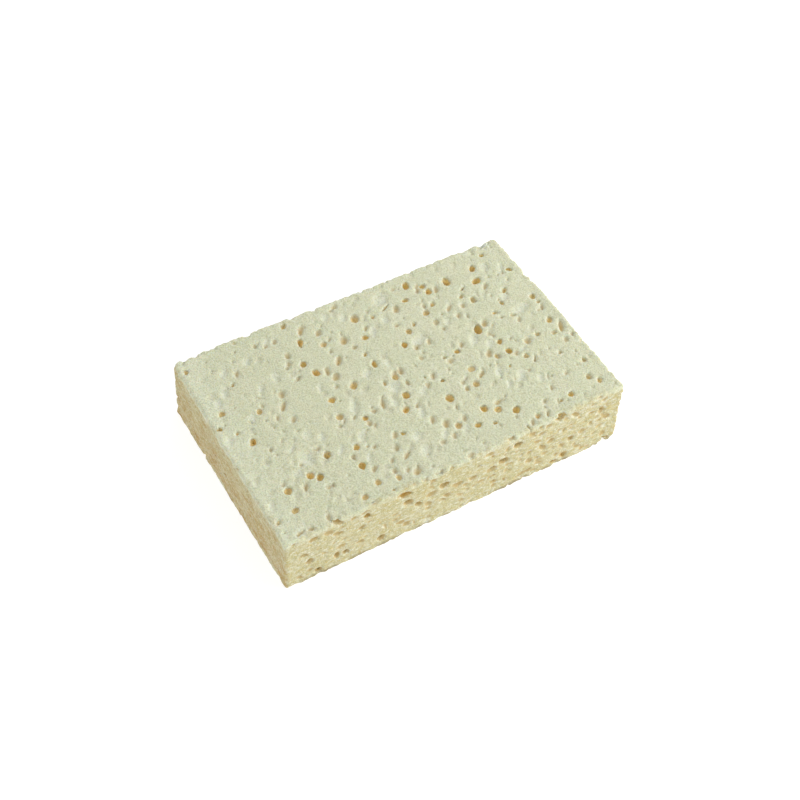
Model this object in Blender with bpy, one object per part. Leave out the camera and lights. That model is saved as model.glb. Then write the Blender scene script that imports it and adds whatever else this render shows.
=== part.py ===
"""A scrub sponge: one cut block of dry, open-celled cellulose foam, with no pad or layer on it.

The block lies on its lower face. The origin is under its middle, in the plane that it rests on. +X runs along its
length, +Z up, and the long side that faces -Y is the front. Every pore is a real hollow, cut from the block.
"""

import math
import random

import bmesh
import bpy
from mathutils import Matrix, Vector

MM = 0.001

# The block: its plan, and its thickness at each corner, because it was sliced by hand from a loaf
LENGTH = 0.120
WIDTH = 0.0762
THICK_BACK_LEFT = 0.0237
THICK_BACK_RIGHT = 0.0235
THICK_FRONT_RIGHT = 0.0247
THICK_FRONT_LEFT = 0.0229
# How far the upper edges stand in from the lower ones
LEAN_IN_FRONT_RIGHT = 0.0014
LEAN_IN_LEFT_BACK = 0.0005
# The upright corner at the back right is worn off by this much along each side
WORN_CORNER = 0.0016
# The edges are worn round to this radius, and an edge is where two sides meet at more than this angle, in degrees
EDGE_RADIUS = 0.0009
EDGE_STEPS = 2
EDGE_ANGLE = 30
# The faces are split into cells of about this size, so that a face can twist a little
CELL = 0.0145

# Pores: how deep each kind goes, as a share of its mean opening, and where its widest level lies under the face
DEEP = (1.05, 0.30)
OPEN = (0.62, 0.10)
DIMPLE = (0.34, -0.10)
# How far a pore's bottom may lie to one side of its opening, as a share of its radius, and the seed of that draw
PORE_SLANT = 0.35
SLANT_SEED = 17
# An opening is never less than this share of the pore's widest level, squared
LEAST_OPENING = 0.2
# The least wall between two scattered pores
PORE_WALL = 0.0007
# The lower face's pores are spread out from its middle, past a disc of this radius that stays whole to rest on
REST_DISC_RADIUS = 0.0095

# The pores that show best in the upper face: right of the middle, behind the middle, across, along, in millimetres,
# then the way that the length of the opening points, in degrees from +X, and the kind of pore
UPPER_PORES = (
    (-58.2, 33.1, 1.5, 1.9, 60, OPEN),
    (-22.3, 35.8, 1.6, 3.0, 60, OPEN),
    (-20.7, 27.1, 1.5, 3.3, 65, DEEP),
    (-13.5, 28.2, 2.3, 3.4, 60, DIMPLE),
    (-14.4, 23.1, 1.6, 2.1, 40, OPEN),
    (-24.0, 18.7, 2.0, 2.5, 60, DEEP),
    (-22.1, 13.9, 1.9, 2.9, 105, DEEP),
    (-17.3, 9.7, 2.5, 3.9, 55, DIMPLE),
    (-14.1, 3.9, 2.4, 3.4, 50, OPEN),
    (-22.9, 1.9, 1.5, 2.5, 10, DEEP),
    (-24.0, -4.9, 1.6, 2.3, 25, OPEN),
    (-51.4, -0.5, 1.7, 2.7, 65, DEEP),
    (-44.6, 8.7, 1.6, 2.0, 90, OPEN),
    (-55.2, 13.2, 1.4, 2.1, 30, OPEN),
    (-34.1, -15.7, 2.3, 2.8, 60, DEEP),
    (-25.0, -17.4, 1.6, 2.1, 40, DEEP),
    (-42.2, -19.9, 2.0, 2.6, 60, DEEP),
    (-39.8, -21.6, 2.1, 2.9, 55, DEEP),
    (-50.5, -21.4, 2.2, 2.6, 20, OPEN),
    (-26.8, -24.1, 2.4, 2.9, 60, DEEP),
    (-51.7, -28.6, 1.4, 2.2, 10, OPEN),
    (-25.6, -31.8, 1.7, 2.0, 30, OPEN),
    (-31.6, -34.5, 1.6, 1.8, 0, OPEN),
    (-19.4, -33.3, 1.5, 1.9, 80, OPEN),
    (-17.3, -9.1, 1.4, 1.7, 0, DEEP),
    (-10.0, -19.8, 1.4, 1.7, 0, DEEP),
    (-4.6, -12.2, 1.9, 2.8, 40, DEEP),
    (-1.8, -7.6, 2.6, 3.2, 70, DEEP),
    (-1.2, 19.4, 1.9, 2.2, 60, DEEP),
    (-6.2, 17.4, 1.5, 1.8, 90, OPEN),
    (-4.1, 8.3, 1.8, 3.2, 75, DEEP),
    (-0.9, 0.8, 1.5, 2.7, 70, OPEN),
    (1.1, -3.6, 1.6, 3.1, 80, DIMPLE),
    (-0.4, 28.1, 2.0, 3.2, 70, OPEN),
    (8.3, 10.6, 1.6, 2.6, 65, DEEP),
    (12.5, 15.0, 1.4, 2.4, 70, OPEN),
    (13.5, 25.2, 2.2, 4.4, 65, DIMPLE),
    (18.3, 27.4, 1.7, 2.4, 0, DEEP),
    (21.8, 33.0, 2.1, 3.9, 60, DEEP),
    (26.6, 30.3, 1.8, 2.0, 0, DEEP),
    (27.2, 27.2, 1.7, 2.8, 60, DEEP),
    (21.7, 19.3, 1.8, 2.5, 55, OPEN),
    (22.5, 14.3, 2.1, 2.9, 60, DIMPLE),
    (34.8, 28.1, 2.4, 4.3, 75, DEEP),
    (45.8, 29.3, 1.8, 3.4, 60, DEEP),
    (43.8, 23.7, 2.5, 3.5, 20, DEEP),
    (38.2, 17.0, 1.7, 2.8, 65, OPEN),
    (51.8, 33.3, 1.2, 2.0, 0, DEEP),
    (45.7, 11.2, 1.3, 2.3, 80, DEEP),
    (41.3, 8.5, 1.4, 2.0, 20, OPEN),
    (46.0, 4.8, 1.5, 1.9, 0, OPEN),
    (32.7, 5.0, 2.6, 4.7, 72, DEEP),
    (21.7, 0.1, 1.8, 2.2, 0, DEEP),
    (36.0, -2.9, 1.6, 2.4, 40, DEEP),
    (36.5, -7.8, 2.4, 3.0, 80, DEEP),
    (22.0, -8.2, 1.9, 2.4, 40, DIMPLE),
    (48.3, -6.3, 1.8, 2.2, 0, OPEN),
    (53.5, -8.3, 1.6, 2.2, 10, OPEN),
    (55.4, -12.9, 2.1, 2.9, 75, DIMPLE),
    (56.0, 8.7, 2.0, 2.7, 60, OPEN),
    (40.2, -12.2, 1.6, 2.5, 45, OPEN),
    (9.5, -15.3, 2.8, 3.2, 70, DEEP),
    (16.5, -14.4, 1.4, 2.3, 65, OPEN),
    (20.1, -14.2, 1.8, 2.2, 70, OPEN),
    (16.8, -23.9, 2.0, 2.9, 65, DEEP),
    (20.3, -26.1, 1.9, 2.4, 45, OPEN),
    (11.7, -28.2, 1.8, 2.6, 10, DEEP),
    (25.3, -29.1, 2.3, 3.2, 45, DEEP),
    (6.4, -25.5, 1.5, 2.2, 60, OPEN),
    (43.6, -32.5, 1.8, 2.4, 0, DEEP),
    (52.8, -29.3, 2.0, 2.5, 50, OPEN),
    (55.4, -22.8, 1.7, 2.0, 80, OPEN),
)

# The same for the front side: right of the middle, above the lower edge, and so on, leaning as seen from the front
FRONT_PORES = (
    (-51.0, 20.4, 1.1, 2.3, 0, OPEN),
    (-46.2, 19.9, 1.2, 2.2, 0, OPEN),
    (-53.7, 14.0, 1.0, 2.2, 10, OPEN),
    (-52.3, 9.3, 1.2, 2.6, 15, DEEP),
    (-49.4, 2.3, 1.1, 2.4, -10, DEEP),
    (-42.9, 5.4, 1.4, 2.3, 0, DEEP),
    (-39.8, 5.0, 1.2, 2.0, 5, DEEP),
    (-42.5, 16.9, 1.1, 2.4, 0, OPEN),
    (-32.5, 18.9, 1.2, 2.4, 10, DEEP),
    (-35.0, 7.4, 1.0, 2.2, 0, OPEN),
    (-27.8, 4.1, 1.5, 2.4, 0, DEEP),
    (-19.4, 20.3, 1.4, 4.2, 5, DEEP),
    (-18.5, 16.3, 1.3, 3.2, 5, DEEP),
    (-14.9, 12.9, 1.1, 2.2, 10, OPEN),
    (-11.0, 15.2, 1.2, 2.7, 0, OPEN),
    (-6.0, 16.1, 1.7, 2.8, 15, DEEP),
    (-4.6, 10.6, 1.1, 2.3, 0, OPEN),
    (-1.0, 13.5, 1.3, 2.4, 10, OPEN),
    (4.6, 12.9, 1.1, 2.1, 0, OPEN),
    (11.7, 13.1, 1.3, 2.8, 5, OPEN),
    (12.7, 6.0, 1.2, 2.2, 0, OPEN),
    (16.3, 14.3, 1.7, 3.3, 5, DEEP),
    (20.7, 18.8, 1.6, 2.7, 0, DEEP),
    (25.8, 8.5, 1.2, 2.2, 0, OPEN),
    (30.4, 12.3, 1.2, 2.1, 15, DEEP),
    (36.9, 22.4, 1.5, 3.2, 20, DEEP),
    (38.8, 8.1, 1.1, 2.2, 0, OPEN),
    (41.3, 10.2, 1.3, 2.2, 0, OPEN),
    (36.3, 1.6, 1.1, 2.5, 0, DEEP),
    (52.5, 16.8, 1.2, 2.0, 20, DEEP),
    (55.4, 13.1, 1.2, 2.0, 0, OPEN),
    (56.3, 1.6, 1.2, 2.4, 0, DEEP),
)

# The scattered pores of each face: how many to a square metre, the smallest and largest opening, how much longer than
# wide they are, how far their length strays from level, in degrees, and the seed that their places are drawn with
UPPER_SCATTER = (2200, 0.0013, 0.0022, 1.35, 90, 11)
LOWER_SCATTER = (5600, 0.0014, 0.0032, 1.35, 90, 12)
FRONT_SCATTER = (6000, 0.0012, 0.0020, 1.9, 25, 13)
BACK_SCATTER = (13000, 0.0013, 0.0026, 1.9, 25, 14)
LEFT_SCATTER = (4400, 0.0011, 0.0017, 1.7, 25, 15)
RIGHT_SCATTER = (4400, 0.0011, 0.0017, 1.7, 25, 16)
TRIES_PER_PORE = 12
# Small pores are more common than large ones: a size is drawn with this power
SIZE_POWER = 2

# A pore is a ball with this many sides and bands, and one this wide or wider has more sides
WIDE_PORE = 0.0022
WIDE_PORE_SIDES = 8
SMALL_PORE_SIDES = 6
PORE_BANDS = 4

FOAM_COLOUR = (0.72, 0.70, 0.50, 1.0)
FOAM_ROUGHNESS = 0.95


class Face:
    """One side of the block, by its corners in order round it, the first two along its length, seen from outside.

    No pore has its middle within whole_disc of the side's middle.
    """

    def __init__(self, low_left, low_right, high_right, high_left, whole_disc=0):
        self.corners = (low_left, low_right, high_right, high_left)
        self.whole_disc = whole_disc
        self.across = ((low_right - low_left).length + (high_right - high_left).length) / 2
        self.height = ((high_left - low_left).length + (high_right - low_right).length) / 2

    def point(self, right, up):
        """The place this far right of the first corner and this far up from it, on the face."""
        low_left, low_right, high_right, high_left = self.corners
        u = right / self.across
        v = up / self.height
        return low_left.lerp(low_right, u).lerp(high_left.lerp(high_right, u), v)

    def any_place(self, draw):
        """How far right and up a place lies that is drawn at random, each part of the face outside the disc alike."""
        middle = Vector((self.across / 2, self.height / 2))
        place = Vector((draw.uniform(0, self.across), draw.uniform(0, self.height)))
        from_middle = place - middle
        return middle + from_middle * (math.hypot(from_middle.length, self.whole_disc) / from_middle.length)

    def axes(self, right, up):
        """Unit vectors at that place: along the face, up it, and out of it."""
        step = self.across / 100
        here = self.point(right, up)
        along = (self.point(right + step, up) - here).normalized()
        out = along.cross(self.point(right, up + step) - here).normalized()
        return along, out.cross(along), out


def block_corners():
    """The eight corners, keyed by their side: left or right, front or back, low or high."""
    left, right = -LENGTH / 2, LENGTH / 2
    front, back = -WIDTH / 2, WIDTH / 2
    return {
        "left front low": Vector((left, front, 0)),
        "right front low": Vector((right, front, 0)),
        "right back low": Vector((right, back, 0)),
        "left back low": Vector((left, back, 0)),
        "left front high": Vector((left, front, THICK_FRONT_LEFT)),
        "right front high": Vector((right, front + LEAN_IN_FRONT_RIGHT, THICK_FRONT_RIGHT)),
        "right back high": Vector((right, back, THICK_BACK_RIGHT)),
        "left back high": Vector((left + LEAN_IN_LEFT_BACK, back, THICK_BACK_LEFT)),
    }


def block_faces(corner):
    """The six sides of the block, each seen from outside."""
    return {
        "upper": Face(corner["left front high"], corner["right front high"],
                      corner["right back high"], corner["left back high"]),
        "lower": Face(corner["left back low"], corner["right back low"],
                      corner["right front low"], corner["left front low"], REST_DISC_RADIUS),
        "front": Face(corner["left front low"], corner["right front low"],
                      corner["right front high"], corner["left front high"]),
        "back": Face(corner["right back low"], corner["left back low"],
                     corner["left back high"], corner["right back high"]),
        "left": Face(corner["left back low"], corner["left front low"],
                     corner["left front high"], corner["left back high"]),
        "right": Face(corner["right front low"], corner["right back low"],
                      corner["right back high"], corner["right front high"]),
    }


def in_block(corner, share):
    """The place in the block at these shares, from 0 to 1, of its length, width and thickness."""
    along, back, up = share
    levels = []
    for level in ("low", "high"):
        front_edge = corner[f"left front {level}"].lerp(corner[f"right front {level}"], along)
        back_edge = corner[f"left back {level}"].lerp(corner[f"right back {level}"], along)
        levels.append(front_edge.lerp(back_edge, back))
    return levels[0].lerp(levels[1], up)


def add_block(corner):
    """The whole block without its pores, its faces split into cells and its edges worn round."""
    mesh = bmesh.new()
    bmesh.ops.create_cube(mesh, size=1)
    for axis, size in enumerate((LENGTH, WIDTH, THICK_BACK_LEFT)):
        cells = max(1, round(size / CELL))
        for cut in range(1, cells):
            plane_point = Vector((0, 0, 0))
            plane_point[axis] = cut / cells - 0.5
            plane_normal = Vector((0, 0, 0))
            plane_normal[axis] = 1
            whole = mesh.verts[:] + mesh.edges[:] + mesh.faces[:]
            bmesh.ops.bisect_plane(mesh, geom=whole, plane_co=plane_point, plane_no=plane_normal)
    back_right = [edge for edge in mesh.edges if all(min(vert.co.x, vert.co.y) == 0.5 for vert in edge.verts)]
    for vert in mesh.verts:
        vert.co = in_block(corner, vert.co + Vector((0.5, 0.5, 0.5)))
    bmesh.ops.bevel(mesh, geom=back_right, offset=WORN_CORNER, segments=1, affect="EDGES")
    mesh.normal_update()
    block_edges = [edge for edge in mesh.edges if edge.calc_face_angle() > math.radians(EDGE_ANGLE)]
    bmesh.ops.bevel(mesh, geom=block_edges, offset=EDGE_RADIUS, segments=EDGE_STEPS, profile=0.5, affect="EDGES")
    return mesh_object("sponge", mesh)


def mesh_object(name, mesh):
    """A new object in the scene that holds this mesh."""
    data = bpy.data.meshes.new(name)
    mesh.to_mesh(data)
    mesh.free()
    made = bpy.data.objects.new(name, data)
    bpy.context.scene.collection.objects.link(made)
    return made


def pore_reach(pore):
    """How far a pore reaches from its middle along the face."""
    return max(pore["short"], pore["long"]) / 2


def pore(face, right, up, short, long, turn, kind):
    """A pore with its middle this far right and up on the face, and an opening of short by long."""
    depth, level = kind
    mean = (short + long) / 2
    return {
        "face": face, "right": right, "up": up, "short": short, "long": long, "turn": turn,
        "depth": depth * mean, "level": level * mean,
        "middle": face.point(right, up),
    }


def seen_pores(face, rows, up_from_middle):
    """The pores of a hand-kept list that lie on the face. Rows count from its middle, or up from its lower edge."""
    found = []
    for right, up, short, long, turn, kind in rows:
        place_right = face.across / 2 + right * MM
        place_up = up * MM + (face.height / 2 if up_from_middle else 0)
        if 0 < place_right < face.across and 0 < place_up < face.height:
            found.append(pore(face, place_right, place_up, short * MM, long * MM, turn, kind))
    return found


def is_clear(new, others):
    """Whether a pore leaves its wall to every other one."""
    reach = pore_reach(new) + PORE_WALL
    return all((new["middle"] - other["middle"]).length > reach + pore_reach(other) for other in others)


def scattered_pores(face, scatter, others):
    """Pores drawn at random over the face, clear of those already there."""
    per_area, smallest, largest, stretch, stray, seed = scatter
    draw = random.Random(seed)
    found = []
    for _ in range(round(per_area * face.across * face.height)):
        size = smallest + (largest - smallest) * draw.random() ** SIZE_POWER
        kind = draw.choice((DEEP, OPEN, OPEN, DIMPLE))
        turn = draw.uniform(-stray, stray)
        for _ in range(TRIES_PER_PORE):
            right, up = face.any_place(draw)
            new = pore(face, right, up, size / math.sqrt(stretch), size * math.sqrt(stretch), turn, kind)
            if is_clear(new, others + found):
                found.append(new)
                break
    return found


def all_pores(faces):
    """Every pore of the block: those read from the real one first, then the scattered ones."""
    found = seen_pores(faces["upper"], UPPER_PORES, up_from_middle=True)
    found += seen_pores(faces["front"], FRONT_PORES, up_from_middle=False)
    for face, scatter in (
        (faces["upper"], UPPER_SCATTER),
        (faces["lower"], LOWER_SCATTER),
        (faces["front"], FRONT_SCATTER),
        (faces["back"], BACK_SCATTER),
        (faces["left"], LEFT_SCATTER),
        (faces["right"], RIGHT_SCATTER),
    ):
        found += scattered_pores(face, scatter, found)
    return found


def add_hollow(mesh, hollow, draw):
    """Adds one pore's hollow to the cutter: a ball squashed to its size, its pole out of the face, leaning a little."""
    along, up, out = hollow["face"].axes(hollow["right"], hollow["up"])
    turned = Matrix.Rotation(math.radians(hollow["turn"]), 3, "Z")
    to_block = Matrix((along, up, out)).transposed() @ turned
    below = hollow["depth"] - hollow["level"]
    widest = hollow["middle"] - out * hollow["level"]
    # The ball is wider than the opening where its widest level lies off the face
    flare = 1 / math.sqrt(max(LEAST_OPENING, 1 - (hollow["level"] / below) ** 2))
    half = Vector((hollow["long"] / 2 * flare, hollow["short"] / 2 * flare, below))
    wide = (hollow["long"] + hollow["short"]) / 2 > WIDE_PORE
    sides = WIDE_PORE_SIDES if wide else SMALL_PORE_SIDES
    made = bmesh.ops.create_uvsphere(mesh, u_segments=sides, v_segments=PORE_BANDS, radius=1)
    spin = Matrix.Rotation(draw.uniform(0, math.tau), 3, "Z")
    slant = Vector((draw.uniform(-PORE_SLANT, PORE_SLANT), draw.uniform(-PORE_SLANT, PORE_SLANT), 0))
    for vert in made["verts"]:
        local = spin @ vert.co + slant * vert.co.z
        vert.co = widest + to_block @ Vector(a * b for a, b in zip(local, half, strict=True))


def add_pore_cutter(hollows):
    """One object that holds every pore's hollow, to be cut from the block."""
    mesh = bmesh.new()
    draw = random.Random(SLANT_SEED)
    for hollow in hollows:
        add_hollow(mesh, hollow, draw)
    bmesh.ops.recalc_face_normals(mesh, faces=mesh.faces)
    cutter = mesh_object("pore_cutter", mesh)
    cutter.hide_render = True
    cutter.display_type = "WIRE"
    return cutter


def foam_material():
    """Dry cellulose foam: pale, warm and without gloss."""
    material = bpy.data.materials.new("cellulose_foam")
    material.use_nodes = True
    shader = material.node_tree.nodes["Principled BSDF"]
    shader.inputs["Base Color"].default_value = FOAM_COLOUR
    shader.inputs["Roughness"].default_value = FOAM_ROUGHNESS
    shader.inputs["Metallic"].default_value = 0.0
    return material


def main():
    for old in list(bpy.data.objects):
        bpy.data.objects.remove(old)
    corner = block_corners()
    sponge = add_block(corner)
    sponge.data.materials.append(foam_material())
    cut = sponge.modifiers.new("pores", "BOOLEAN")
    cut.operation = "DIFFERENCE"
    cut.solver = "EXACT"
    cut.use_self = True
    cut.object = add_pore_cutter(all_pores(block_faces(corner)))


main()
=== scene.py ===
"""The looks of a dry cellulose scrub sponge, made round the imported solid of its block.

One piece, foam_block, stands for the solid. It is a fine mesh of the same block with the smaller pores,
the torn edges and the uneven cut sides added, and it wears one foam material. Lengths are in metres
unless a comment says millimetres.
"""

import math
import random

import bpy
import numpy as np
from bpy.props import FloatProperty, FloatVectorProperty, PointerProperty
from mathutils import Matrix, Vector, kdtree, noise
from mathutils.bvhtree import BVHTree


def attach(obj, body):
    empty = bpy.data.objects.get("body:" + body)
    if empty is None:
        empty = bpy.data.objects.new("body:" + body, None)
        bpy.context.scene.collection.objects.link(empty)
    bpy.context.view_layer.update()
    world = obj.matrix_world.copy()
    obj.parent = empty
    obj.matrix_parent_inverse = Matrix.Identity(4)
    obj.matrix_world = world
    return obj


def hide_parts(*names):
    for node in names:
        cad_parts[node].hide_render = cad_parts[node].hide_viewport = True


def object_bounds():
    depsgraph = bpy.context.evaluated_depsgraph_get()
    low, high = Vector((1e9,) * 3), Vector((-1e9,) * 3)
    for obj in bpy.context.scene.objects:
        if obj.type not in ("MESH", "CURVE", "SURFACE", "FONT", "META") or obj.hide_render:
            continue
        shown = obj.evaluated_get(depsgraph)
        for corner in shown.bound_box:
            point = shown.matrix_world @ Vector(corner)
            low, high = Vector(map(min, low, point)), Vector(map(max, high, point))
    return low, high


bl_info = {
    "name": "Cellulose Sponge",
    "version": (1, 0, 0),
    "blender": (4, 5, 0),
    "location": "View3D > Sidebar > Sponge",
    "description": "Models the foam of a cellulose sponge and sets its stage",
    "category": "Object",
}

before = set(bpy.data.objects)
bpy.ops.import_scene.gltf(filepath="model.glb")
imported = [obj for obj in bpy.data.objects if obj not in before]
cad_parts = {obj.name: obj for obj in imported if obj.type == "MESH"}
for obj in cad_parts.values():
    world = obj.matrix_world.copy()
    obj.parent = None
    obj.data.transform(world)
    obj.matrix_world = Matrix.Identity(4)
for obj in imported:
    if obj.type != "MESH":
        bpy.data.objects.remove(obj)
CAD_BOX = [list(corner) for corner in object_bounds()]
LOWEST, HIGHEST = (Vector(corner) for corner in CAD_BOX)
NODE = "sponge"
FOAM_SLOT = "cellulose_foam"
MM = 0.001

# Kinds of pore: how deep it goes as a share of its mean opening, how gently its walls fall, from 0 for
# upright ones, and how much wider its soft rim is than the hollow in the tables. The open pores of the
# front side have a kind of their own
DEEP = (1.1, 0.7, 1.5)
OPEN = (0.75, 1.0, 1.85)
SIDE_OPEN = (0.65, 0.9, 1.75)
DIMPLE = (0.24, 1.0, 1.6)
# A dimple longer than this is whiter than the skin round it, and a shorter one is darker
WHITE_DISH = 0.0042

# Smaller pores of the upper face, by kind: right of the middle, behind the middle, across, along, in
# millimetres, then the way that the length of the opening points, in degrees from +X
UPPER_DEEP = (
    (-17.0, -8.8, 1.3, 1.5, 0), (-13.4, -6.2, 0.9, 1.0, 0), (11.0, 28.0, 0.6, 3.0, 25),
    (5.5, 26.5, 1.2, 1.4, 10), (38.0, 23.3, 0.9, 1.8, 20), (49.8, 16.2, 1.2, 2.0, 40),
    (50.6, -15.5, 1.1, 1.4, 30), (42.2, 6.2, 1.0, 1.2, 0), (30.0, -33.7, 1.4, 1.9, 30),
    (55.1, -31.1, 1.4, 1.9, 55), (56.5, 6.4, 1.3, 1.5, 30), (-54.1, 4.6, 1.1, 1.4, 30),
    (-47.0, 22.0, 1.2, 1.5, 50), (15.6, 17.2, 1.2, 1.6, 50), (35.7, 20.6, 1.2, 1.7, 40),
    (55.4, -2.1, 1.8, 2.2, 60), (-4.6, 13.6, 1.3, 1.7, 55), (-5.1, 0.3, 1.3, 1.7, 70),
    (25.5, 22.0, 1.4, 1.8, 50),
)
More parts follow.
